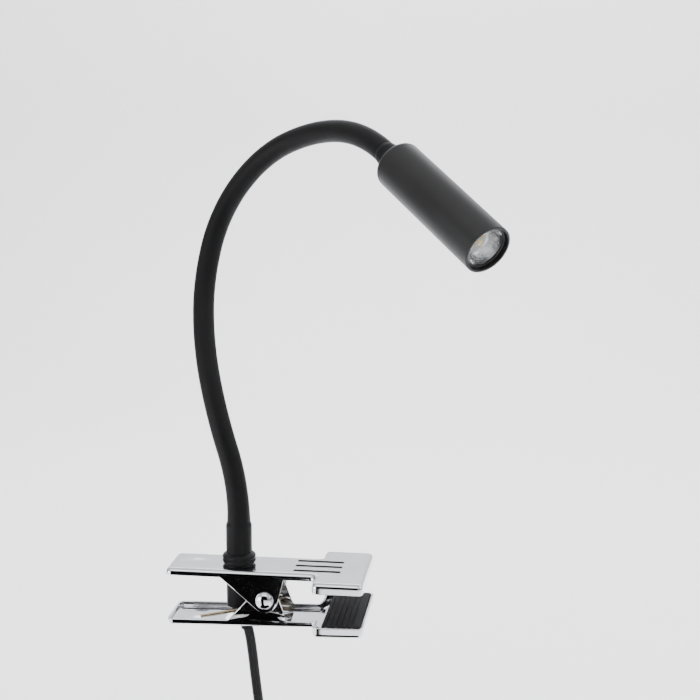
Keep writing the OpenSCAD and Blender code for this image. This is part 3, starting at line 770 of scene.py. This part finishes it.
def dome_profile(inner):
    """Domed head of the pin, its crown down: flat back at 0, a short round edge, then the dome."""
    points = []
    for k in range(13):
        t = k / 12 * math.pi / 2
        points.append((DOME_R * math.sin(t), -DOME_H + (DOME_H - 0.5) * (1 - math.cos(t))))
    points += [(DOME_R, -0.15), (DOME_R - 0.15, 0), (inner, 0)]
    return points


HEAD_GAP = 0.05
pin_place = shift((PIVOT[0], -ARM_W / 2 - HEAD_GAP, PIVOT[2])) @ turn("X", -90)
pin_end = ARM_W + 2 * HEAD_GAP + 1.5
pin_profile = dome_profile(PIN_D / 2) + [(PIN_D / 2, pin_end), (0, pin_end)]
pin = lathe("pivot_pin_turned", pin_profile, pin_place, "chrome_sheet", "clamp_and_cord", 64)
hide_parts("pivot_pin")
cap_place = shift((PIVOT[0], ARM_W / 2 + HEAD_GAP, PIVOT[2])) @ turn("X", 90)
cap = lathe("pivot_cap_turned", dome_profile(PIN_D / 2 - 0.2), cap_place, "chrome_sheet", "clamp_and_cord", 64)
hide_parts("pivot_cap")


def round_section(h, radius, sides):
    """Rings square to the headings, carried along without twisting."""
    first = np.cross(h[0], [0, 0, 1])
    if np.linalg.norm(first) < 0.2:
        first = np.cross(h[0], [0, 1, 0])
    u = first / np.linalg.norm(first)
    frames = []
    for d in h:
        u = u - d * (u @ d)
        u /= np.linalg.norm(u)
        v = np.cross(d, u)
        frames.append((u.copy(), v))
    return lambda i: [frames[i][0] * radius * c + frames[i][1] * radius * s for c, s in circle(sides)]


def wire(name, points, radius, slot, body):
    """Round wire along points."""
    return tube(name, points, round_section(headings(points), radius, 16), slot, body, sharp=50)


def torsion_spring():
    """Wire coil round the pin, with one leg up to the upper lever and one down to the lower."""
    mean_r = PIN_D / 2 + 0.8 + WIRE_D / 2
    half = FERRULE_R + WIRE_D / 2 + 0.5
    leg_x = -34.0
    low = FLOOR_BOTTOM + SHEET_T + WIRE_D / 2 + 0.3 - PIVOT[2]
    high = PLATE_TOP - PIVOT[2] - SHEET_T - WIRE_D / 2 - 0.1

    def leaves(z):
        """Angle at the pin between a leg's end and the place where the leg leaves the coil."""
        return math.degrees(math.atan2(abs(z), -leg_x) + math.acos(mean_r / math.hypot(leg_x, z)))

    first, last = 180 + leaves(low), 360 * SPRING_TURNS + 180 - leaves(high)
    steps = SPRING_TURNS * 36
    coil = []
    for i in range(steps + 1):
        a = math.radians(first + (last - first) * i / steps)
        coil.append((mean_r * math.cos(a), -half + 2 * half * i / steps, mean_r * math.sin(a)))

    def leg(end, start):
        return [tuple(np.array(end) + (np.array(start) - np.array(end)) * k / 10) for k in range(10)]

    lower_end, upper_end = (leg_x, -half, low), (leg_x, half, high)
    upper = coil + leg(upper_end, coil[-1])[::-1]
    upper = [tuple(np.add(p, PIVOT)) for p in upper]
    lower = [tuple(np.add(p, PIVOT)) for p in leg(lower_end, coil[0]) + coil[:3]]
    body = wire("spring_wire_coil", upper, WIRE_D / 2, "spring_wire", "clamp_and_cord")
    wire("spring_wire_leg", lower, WIRE_D / 2 - 0.01, "spring_wire", "lower_jaw")
    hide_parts("torsion_spring")


torsion_spring()

# ---------- foot of the neck ----------

foot_place = shift((NECK_X, 0, PLATE_TOP))
FLARE = 0.42
FLARE_REACH = 9.0
collar_in = FERRULE_R + 0.02
COLLAR_H = 6.0
COLLAR_R = 7.5
RIB_Z = (1.9, 4.1)
RIB_R = 1.35
RIB_FOOT = 7.15


def collar_outline():
    """Foot, two soft ribs with a shallow groove between them, and a sloping shoulder."""
    points = [(collar_in, 0), (COLLAR_R, 0)]
    z = 0.2
    while z < 5.3:
        bulge = max(RIB_R ** 2 - (z - middle) ** 2 for middle in RIB_Z)
        points.append((max(COLLAR_R, RIB_FOOT + math.sqrt(max(0.0, bulge))), z))
        z += 0.15
    return points + [(7.35, 5.5), (collar_in + 0.15, COLLAR_H), (collar_in, COLLAR_H)]


collar = lathe("collar_moulding", collar_outline(), foot_place, "collar_rubber", "clamp_and_cord",
               sharp=50)
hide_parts("base_collar")

ferrule_profile = rounded([
    (SLEEVE_BORE - 0.1, 0, 0), (FERRULE_R, 0, 0.1), (FERRULE_R, FERRULE_H - 2.6, 2.2),
    (NECK_R + FLARE, FERRULE_H - 0.6, 1.5), (NECK_R + FLARE, FERRULE_H, 0), (SLEEVE_BORE - 0.1, FERRULE_H, 0),
], 0.2, 8)
ferrule = lathe("lower_ferrule_turned", ferrule_profile, foot_place, "ferrule_black", "clamp_and_cord",
                sharp=50)
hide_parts("lower_ferrule")

# ---------- neck ----------


def neck_spots():
    """Frame at the foot of each span, and a function for any place along the neck."""
    frames = [shift((NECK_X, 0, PLATE_TOP + FERRULE_H))]

    def step(i, share):
        a = math.radians(NECK_BEND[i] * share)
        r = SPAN_L / math.radians(NECK_BEND[i])
        return (turn("Z", NECK_SIDE[i]) @ shift((r * (1 - math.cos(a)), 0, r * math.sin(a)))
                @ turn("Y", NECK_BEND[i] * share) @ turn("Z", -NECK_SIDE[i]))

    for i in range(SPANS):
        frames.append(frames[-1] @ step(i, 1))
    return frames, lambda i, share: frames[i] @ step(i, share)


neck_frames, neck_at = neck_spots()


def sleeve_piece(name, start, end):
    """Rubber sleeve between two places on the neck, counted in spans, as a tube with a wall."""
    sides = 64
    rows = max(2, int(round((end - start) * SPAN_L))) + 1
    rings = []
    for k in range(rows):
        s = start + (end - start) * k / (rows - 1)
        i = min(int(s + 1e-9), SPANS - 1)
        rings.append((neck_at(i, s - i), NECK_R + FLARE * math.exp(-s * SPAN_L / FLARE_REACH)))
    verts, faces = [], []
    for layer in (0, 1):
        for place, outside in rings:
            radius = SLEEVE_BORE if layer else outside
            verts += [place @ Vector((radius * c, radius * s, 0)) for c, s in circle(sides)]
        faces += band(rows, sides, layer * rows * sides)
    for k in (0, rows - 1):
        faces += between(k * sides, (rows + k) * sides, sides)
    return add_mesh(name, verts, faces, "neck_rubber", None, sharp=60)


neck_bodies = ["clamp_and_cord"] + [f"neck_{i}" for i in range(2, SPANS)] + ["head"]
foot = sleeve_piece("neck_rubber_foot", 0, 0.5)
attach(foot, neck_bodies[0])
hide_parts("neck_sleeve_1")
for i in range(1, SPANS):
    piece = sleeve_piece(f"neck_rubber_{i}", i - 0.5, i + 0.5)
    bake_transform(piece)
    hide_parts(f"neck_sleeve_{i + 1}")
tip = sleeve_piece("neck_rubber_tip", SPANS - 0.5, SPANS)
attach(tip, "head")

TIP_BORE = 3.5
STUD_R = 4.9
STUD_L = 8
tip_profile = rounded([
    (TIP_BORE, -0.6, 0), (NECK_R - 0.5, -0.6, 0), (NECK_R + 0.02, 0.2, 0.3), (TIP_R, 2.2, 1.6),
    (TIP_R, TIP_L, 0), (STUD_R, TIP_L, 0), (STUD_R, TIP_L + STUD_L, 0.3), (TIP_BORE, TIP_L + STUD_L, 0),
], 0.2, 6)
upper_ferrule = lathe("upper_ferrule_turned", tip_profile, neck_frames[SPANS], "ferrule_black", "head",
                      sharp=50)
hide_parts("upper_ferrule")

# ---------- head ----------

head_place = neck_frames[SPANS] @ shift((0, 0, TIP_L))
bore = HEAD_R - HEAD_T
housing_profile = rounded([
    (5.0, 0, 0.2), (HEAD_R, 0, HEAD_ROUND), (HEAD_R, HEAD_L, 0.35), (bore, HEAD_L, 0.25),
    (bore, HEAD_BACK_T, 0.5), (5.0, HEAD_BACK_T, 0.1)], 0.2, 10)
housing = lathe("head_tube", housing_profile, head_place, "head_black", "head", 144, sharp=50)
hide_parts("head_housing")

lens_front = HEAD_L - LENS_DEPTH
lens_base = lens_front - LENS_H
ring_profile = rounded([
    (bore - 0.02, 0, 0.05), (bore - 0.02, RING_H, 0.3), (bore - 1, RING_H * 0.6, 0.2),
    (bore - 1, 0, 0.05)], 0.1, 4)
ring = lathe("lens_ring_moulding", ring_profile, head_place @ shift((0, 0, lens_front)), "ring_black", "head")
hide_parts("lens_ring")

BOWL_FOOT = 4.6
BOWL_Z = 0.3
DOME_OUT = 3.0


def bowl_wall(gap):
    """Points up the bowl's wall from its foot to the rim, drawn in by a gap."""
    out = []
    for k in range(15):
        s = k / 14
        r = BOWL_FOOT + (bore - 0.35 - BOWL_FOOT) * s ** 0.62
        out.append((r - gap, BOWL_Z + (LENS_H - 1.1 - BOWL_Z) * s))
    return out


def lens_outline():
    """Solid clear optic: flat foot, curved wall, and a front with shallow rings round a small dome."""
    wall = bowl_wall(0.12)
    out = [(0, BOWL_Z + 0.5), (wall[0][0] - 0.2, BOWL_Z + 0.5)] + [p for p in wall if p[1] > BOWL_Z + 0.5]
    out += [(bore - 0.3, LENS_H - 0.9), (bore - 0.3, LENS_H - 0.1), (bore - 0.4, LENS_H)]
    for r in (8.0, 6.7, 5.4):
        out += [(r + 0.12, LENS_H), (r, LENS_H - 0.16), (r - 0.5, LENS_H - 0.1), (r - 0.62, LENS_H - 0.02)]
    for k in range(9):
        r = DOME_OUT * (1 - k / 8)
        out.append((r, LENS_H - 0.05 - 0.5 * (1 - (r / DOME_OUT) ** 2)))
    return out


def bowl_profile():
    """Thin silvered bowl behind the optic, closed at the foot behind the chips."""
    rim = [(bore - 0.1, LENS_H - 1.0), (bore - 0.1, LENS_H - 1.6)]
    return [(0, -0.5), (BOWL_FOOT, -0.5)] + bowl_wall(0.0) + rim + [(BOWL_FOOT + 0.6, -0.8), (0, -0.8)]


lens_place = head_place @ shift((0, 0, lens_base))
lens = lathe("lens_optic", lens_outline(), lens_place, "lens_clear", "head", 128, sharp=12)
lathe("lens_bowl", bowl_profile(), lens_place, "heat_aluminium", "head", 128, sharp=12)
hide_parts("tir_lens")


def block(name, size, place, slot, body, bevel):
    """Box with softened edges, its foot centred on the origin of its place."""
    x, y, z = size[0] / 2, size[1] / 2, size[2]
    verts = [place @ Vector((sx * x, sy * y, sz * z)) for sx in (-1, 1) for sy in (-1, 1) for sz in (0, 1)]
    faces = [(0, 1, 3, 2), (4, 6, 7, 5), (0, 4, 5, 1), (2, 3, 7, 6), (0, 2, 6, 4), (1, 5, 7, 3)]
    return add_mesh(name, verts, faces, slot, body, bevel=bevel)


CHIP_OFF = 1.9
FRAME_SIZE = (3.2, 3.2, 0.6)
PHOSPHOR_SIZE = (2.9, 2.9, 0.9)
chip_foot = head_place @ shift((0, 0, lens_base - 0.5))
chips = []
for cx in (-CHIP_OFF, CHIP_OFF):
    for cy in (-CHIP_OFF, CHIP_OFF):
        tag = f"{len(chips) + 1}"
        place = chip_foot @ shift((cx, cy, 0))
        block(f"chip_frame_{tag}", FRAME_SIZE, place, "board_white", "head", 0.12)
        chips.append(block(f"chip_phosphor_{tag}", PHOSPHOR_SIZE, place, "phosphor", "head", 0.3))
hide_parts("led_chips")

# ---------- tube nut, strain relief and what is on the cord ----------

NUT_TOP = PLATE_TOP - SHEET_T - 1
NUT_L = 20.0
NUT_BORE = 5.0
RELIEF_TOP_R = 4.7
RELIEF_TIP_R = 3.1
nut_profile = rounded([
    (NUT_BORE, -NUT_L, 0), (FERRULE_R, -NUT_L, 0.6), (FERRULE_R, 0, 0.3), (NUT_BORE, 0, 0)], 0.1, 6)
nut = lathe("tube_nut_turned", nut_profile, shift((NECK_X, 0, NUT_TOP)), "ferrule_black", "clamp_and_cord")
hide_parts("tube_nut")


def strain_relief():
    """Tapered rubber sleeve with ring grooves, bending from straight down to the cord's own lean."""
    top = NUT_TOP - NUT_L
    p0, p1 = (NECK_X, 0, top + 7), (NECK_X, 0, top)
    p2, p3 = (NECK_X + 0.9, 0, top - 6), CORD_EXIT
    points, radii = [p0, (NECK_X, 0, top + 3.5)], [4.9, 4.9]
    steps = 48
    for k in range(steps + 1):
        s = k / steps
        q = [(1 - s) ** 2 * a + 2 * s * (1 - s) * b + s * s * c for a, b, c in zip(p1, p2, p3)]
        points.append(tuple(q))
        groove = 0.45 * max(0.0, math.sin(s * math.pi * 12)) ** 2 if 0.12 < s < 0.93 else 0.0
        radii.append(RELIEF_TOP_R + (RELIEF_TIP_R - RELIEF_TOP_R) * s ** 0.8 - groove)
    ring = round_section(headings(points), 1.0, 48)
    obj = tube("relief_moulding", points, lambda i: [o * radii[i] for o in ring(i)], "collar_rubber",
               "clamp_and_cord", sharp=60)
    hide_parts("strain_relief")
    return obj


relief = strain_relief()


def coil_tie():
    """Soft band round the coil's turns."""
    deep, high = 3 * COIL_PITCH_Y + 0.7, 3 * COIL_PITCH_R + 0.7
    half, thick = 2.5, 0.9
    rings = []
    for grow, x in ((0.0, -half), (thick, -half), (thick, half), (0.0, half)):
        w, h = deep / 2 + grow, high / 2 + grow
        outline = rounded_box(-w, -h, w, h, 2.0 + grow, 8)
        rings.append([(COIL_X + x, 2 * COIL_PITCH_Y + y, COIL_Z - COIL_R + z) for y, z in outline])
    n = len(rings[0])
    verts = [v for ring in rings for v in ring]
    faces = [quad for k in range(4) for quad in between(k * n, (k + 1) % 4 * n, n)]
    obj = add_mesh("tie_band", verts, faces, "tie_black", "clamp_and_cord", sharp=50, bevel=0.3)
    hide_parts("cord_tie")
    return obj


tie = coil_tie()

switch_place = shift((SWITCH_X, 0, SWITCH_Z)) @ turn("X", 90)
ROCKER_L = 17.0
ROCKER_W = 11.0
ROCKER_Z = SWITCH_H / 2 - 2
ROCKER_TILT = 8.0
ROCKER_GAP = 0.35
CASE_CORNER = 8
CASE_EDGE = 2.4
POCKET_H = 6.0


def case_outline(inset):
    """Outline of the switch's case, drawn in by an inset."""
    w, h = SWITCH_W / 2 - inset, SWITCH_L / 2 - inset
    return rounded_box(-w, -h, w, h, CASE_CORNER - inset, 12)


def switch_half(name, sign, window, replaced):
    """Half of the switch's case: rolled outer edge, a fine parting line, and a pocket for the rocker."""
    top = SWITCH_H / 2
    steps = [(0.35, 0.02), (0.05, 0.3), (0.0, 0.5), (0.0, top - CASE_EDGE)]
    for k in range(1, 9):
        a = math.pi / 2 * k / 8
        steps.append((CASE_EDGE * (1 - math.cos(a)), top - CASE_EDGE + CASE_EDGE * math.sin(a)))
    rings = [[(x, y, z) for x, y in case_outline(inset)] for inset, z in steps]
    n = len(rings[0])
    verts = [v for ring in rings for v in ring]
    faces = band(len(rings), n) + [tuple(range(n))]
    hole = []
    if window:
        w, h = ROCKER_W / 2 + ROCKER_GAP, ROCKER_L / 2 + ROCKER_GAP
        hole = [rounded_box(-w, -h, w, h, 0.8, 4)]
    flat, tris = plate_mesh([(x, y) for x, y, _ in rings[-1]], hole)
    base = len(verts)
    verts += [(x, y, top) for x, y in flat]
    faces += [tuple(base + i for i in t) for t in tris]
    for outline in hole:
        base, m = len(verts), len(outline)
        verts += [(x, y, z) for z in (top, top - POCKET_H) for x, y in outline]
        faces += between(base, base + m, m)
        faces.append(tuple(range(base + m, base + 2 * m)))
    verts = [switch_place @ Vector((x, y, z * sign)) for x, y, z in verts]
    obj = add_mesh(name, verts, faces, "switch_black", "clamp_and_cord", sharp=40)
    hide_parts(replaced)
    return obj


switch_front = switch_half("switch_case_front", 1, True, "switch_front")
switch_back = switch_half("switch_case_back", -1, False, "switch_back")


def rocker():
    """Rocker cap, a shallow vee with rounded ends, and its trunnions."""
    wing = ROCKER_L / 2 - 0.6
    side = rounded([(-3, -5, 0.2), (0.5, -wing, 0.4), (3.2, 0.3 - wing, 0.6), (2, 0, 6.0),
                    (3.2, wing - 0.3, 0.6), (0.5, wing, 0.4), (-3, 5, 0.2)], 0.4, 6)
    place = switch_place @ shift((0, 0, ROCKER_Z)) @ turn("X", ROCKER_TILT)
    n = len(side)
    verts = [place @ Vector((x, y, z)) for x in (-ROCKER_W / 2, ROCKER_W / 2) for z, y in side]
    cap_piece = add_mesh("rocker_cap", verts, band(2, n) + caps(2, n), "rocker_black", "rocker",
                         sharp=40, bevel=0.35)
    reach = ROCKER_W / 2 + 1.8
    trunnion = lathe("rocker_trunnion", [(0, -reach), (0.8, -reach), (0.8, reach), (0, reach)],
                     place @ turn("Y", 90), "rocker_black", "rocker", 32)
    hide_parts("switch_rocker")
    return cap_piece, trunnion


rocker_cap, rocker_trunnion = rocker()

plug_place = shift(PLUG_FOOT) @ turn("X", 180)
PLUG_NECK_L = 16.0
PLUG_L = 34.0
PLUG_W = 35.0
PLUG_T = 13.6
PLUG_EDGE = 1.5
PIN_SPAN = 18.6
PIN_L = 19.0
PIN_R = 1.95


def plug_half_sizes(z):
    """Half thickness, half width and squareness of the plug's body at height z."""
    if z < PLUG_NECK_L:
        s = z / PLUG_NECK_L
        groove = 0.5 * max(0.0, math.sin(s * math.pi * 9)) ** 2 if 0.15 < s < 0.9 else 0.0
        return 3.0 + 1.4 * s - groove, 3.0 + 2.6 * s - groove, 2.0
    s = ease((z - PLUG_NECK_L) / 9)
    end = PLUG_NECK_L + PLUG_L
    ridge = 0.35 * math.sin((z - 27) * math.pi / 1.6) ** 2 if 27 < z < 39.8 else 0.0
    rise = (z - end + PLUG_EDGE) / PLUG_EDGE
    close = 1.2 * (1 - math.sqrt(max(0.0, 1 - rise ** 2))) if rise > 0 else 0.0
    thick = 4.4 + (PLUG_T / 2 - 4.4) * s - ridge - close
    wide = 5.6 + (PLUG_W / 2 - 5.6) * s - close
    return thick, wide, 2.0 + 1.4 * s


def plug():
    """Flat two-pin plug: grooved neck, ridged body, and two pins sleeved for half their length."""
    end = PLUG_NECK_L + PLUG_L
    heights = [0.01] + list(np.arange(0.5, end - PLUG_EDGE, 0.4))
    heights += [end - PLUG_EDGE + PLUG_EDGE * math.sin(k * math.pi / 12) for k in range(7)]
    sides = 72
    verts = []
    for z in heights:
        thick, wide, power = plug_half_sizes(float(z))
        verts += [plug_place @ Vector((math.copysign(abs(c) ** (2 / power), c) * thick,
                                       math.copysign(abs(s) ** (2 / power), s) * wide, z))
                  for c, s in circle(sides)]
    rows = len(heights)
    body = add_mesh("plug_moulding", verts, band(rows, sides) + caps(rows, sides), "plug_black",
                    "clamp_and_cord", sharp=50)
    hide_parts("plug_body")
    pieces = [body]
    for side in (-1, 1):
        place = plug_place @ shift((0, side * PIN_SPAN / 2, end - 0.5))
        tip_z = PIN_L + 0.5
        dome = [(PIN_R * math.cos(k * math.pi / 16), tip_z - PIN_R + PIN_R * math.sin(k * math.pi / 16))
                for k in range(8)]
        tag = "left" if side < 0 else "right"
        profile = [(0, 0), (PIN_R - 0.1, 0), (PIN_R - 0.1, 9), (PIN_R, 10)] + dome + [(0, tip_z)]
        pieces.append(lathe(f"plug_pin_{tag}", profile, place, "pin_metal", "clamp_and_cord", 48))
        pieces.append(lathe(f"plug_sleeve_{tag}", [(1.86, 0), (2.0, 0), (2.0, 9.6), (1.86, 9.9)], place,
                            "plug_black", "clamp_and_cord", 48))
    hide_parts("plug_pins")
    return pieces


plug_pieces = plug()

# ---------- stage and light ----------


FLOOR_Z = -0.272
CARD_FOOT = -0.26
CARD_TOP = 1.5


def make_stage():
    """Pale sweep: a floor that curves up into a wall behind the object."""
    depth, rise, wide = 1.6, 0.5, 6.0
    profile = [(-7.0, FLOOR_Z)]
    for k in range(25):
        a = math.pi / 2 * k / 24
        profile.append((depth + rise * math.sin(a), FLOOR_Z + rise * (1 - math.cos(a))))
    profile.append((depth + rise, 3.5))
    verts = [(x, y, z) for x in (-wide, wide) for y, z in profile]
    n = len(profile)
    mesh = bpy.data.meshes.new("sweep")
    mesh.from_pydata(verts, [], [(i, i + 1, n + i + 1, n + i) for i in range(n - 1)])
    mesh.shade_smooth()
    mesh.materials.append(material("sweep", (0.80, 0.80, 0.82), 0.8, vary=0.01, blotch=2, grain=200, bump=0.02))
    obj = link("sweep", mesh)


def area_light(name, at, size, power, aim):
    """Soft light at a place, turned to face another."""
    data = bpy.data.lights.new(name, "AREA")
    data.shape = "RECTANGLE"
    data.size, data.size_y = size
    data.energy = power
    obj = link(name, data)
    obj.location = at
    obj.rotation_mode = "QUATERNION"
    obj.rotation_quaternion = (Vector(aim) - Vector(at)).to_track_quat("-Z", "Y")
    return obj


def card(name, corners, finish):
    """Card that only shows in reflections, as round a photographed mirror finish."""
    mesh = bpy.data.meshes.new(name)
    mesh.from_pydata(corners, [], [(0, 1, 2, 3)])
    mesh.materials.append(finish)
    obj = link(name, mesh)
    obj.visible_camera = False
    obj.visible_shadow = False
    obj.visible_diffuse = False


def make_world():
    """Pale room, brighter overhead, for the bright metal to mirror."""
    world = bpy.data.worlds.new("room")
    bpy.context.scene.world = world
    world.use_nodes = True
    nodes, links = world.node_tree.nodes, world.node_tree.links
    where = nodes.new("ShaderNodeTexCoord")
    split = nodes.new("ShaderNodeSeparateXYZ")
    ramp = nodes.new("ShaderNodeValToRGB")
    span = nodes.new("ShaderNodeMapRange")
    span.inputs["From Min"].default_value = -1
    span.inputs["From Max"].default_value = 1
    links.new(where.outputs["Generated"], split.inputs["Vector"])
    links.new(split.outputs["Z"], span.inputs["Value"])
    links.new(span.outputs["Result"], ramp.inputs["Fac"])
    stops = [(0.0, 0.6), (0.40, 0.45), (0.5, 0.30), (0.62, 0.45), (0.75, 0.8), (1.0, 1.0)]
    elements = ramp.color_ramp.elements
    while len(elements) < len(stops):
        elements.new(0.5)
    for element, (place, level) in zip(elements, stops):
        element.position = place
        element.color = (level * 0.985, level * 0.985, level, 1)
    links.new(ramp.outputs["Color"], nodes["Background"].inputs["Color"])
    nodes["Background"].inputs["Strength"].default_value = 1.0


make_stage()
make_world()
black_card = material("black_card", (0.0015, 0.0015, 0.0015), 0.9, specular=0.0)
grey_card = material("grey_card", (0.38, 0.385, 0.40), 0.9, specular=0.0)


def upright(name, x0, x1, y, z0, z1, finish):
    """Standing card across the view."""
    card(name, [(x0, y, z0), (x1, y, z0), (x1, y, z1), (x0, y, z1)], finish)


def lying(name, corners, finish):
    """Card just above the floor, from its corners in plan."""
    card(name, [(x, y, CARD_FOOT) for x, y in corners], finish)


lying("flag_low", [(-1.6, -3.0), (-0.475, -3.0), (-0.06, -0.30), (-0.20, -0.30)], black_card)
lying("flag_near", [(-0.20, -0.30), (0.12, -0.30), (0.12, -0.02), (-0.20, -0.02)], black_card)
upright("flag_front", -1.4, -0.35, -2.2, CARD_FOOT, CARD_TOP, black_card)
upright("flag_high", -0.35, 0.9, -2.2, 0.0, CARD_TOP, black_card)
upright("card_back", -2.0, 2.0, 1.5, -0.1, 0.75, grey_card)
area_light("key", (-1.4, -1.1, 0.0), (1.3, 1.3), 26, (0.02, -0.02, 0.15))
top = area_light("top", (0.2, 0.1, 1.7), (1.6, 1.2), 36, (-0.03, 0, 0))
top.visible_glossy = False
area_light("strip", (-0.1, -1.0, 1.6), (1.6, 0.5), 6.5, (-0.02, 0, 0.0))
wall = area_light("wall", (0.0, 0.7, 1.9), (2.4, 0.8), 118, (0.0, 2.0, 0.2))
wall.visible_glossy = False
area_light("right", (1.5, 0.1, 0.9), (0.8, 1.0), 7, (0.02, -0.02, 0.15))
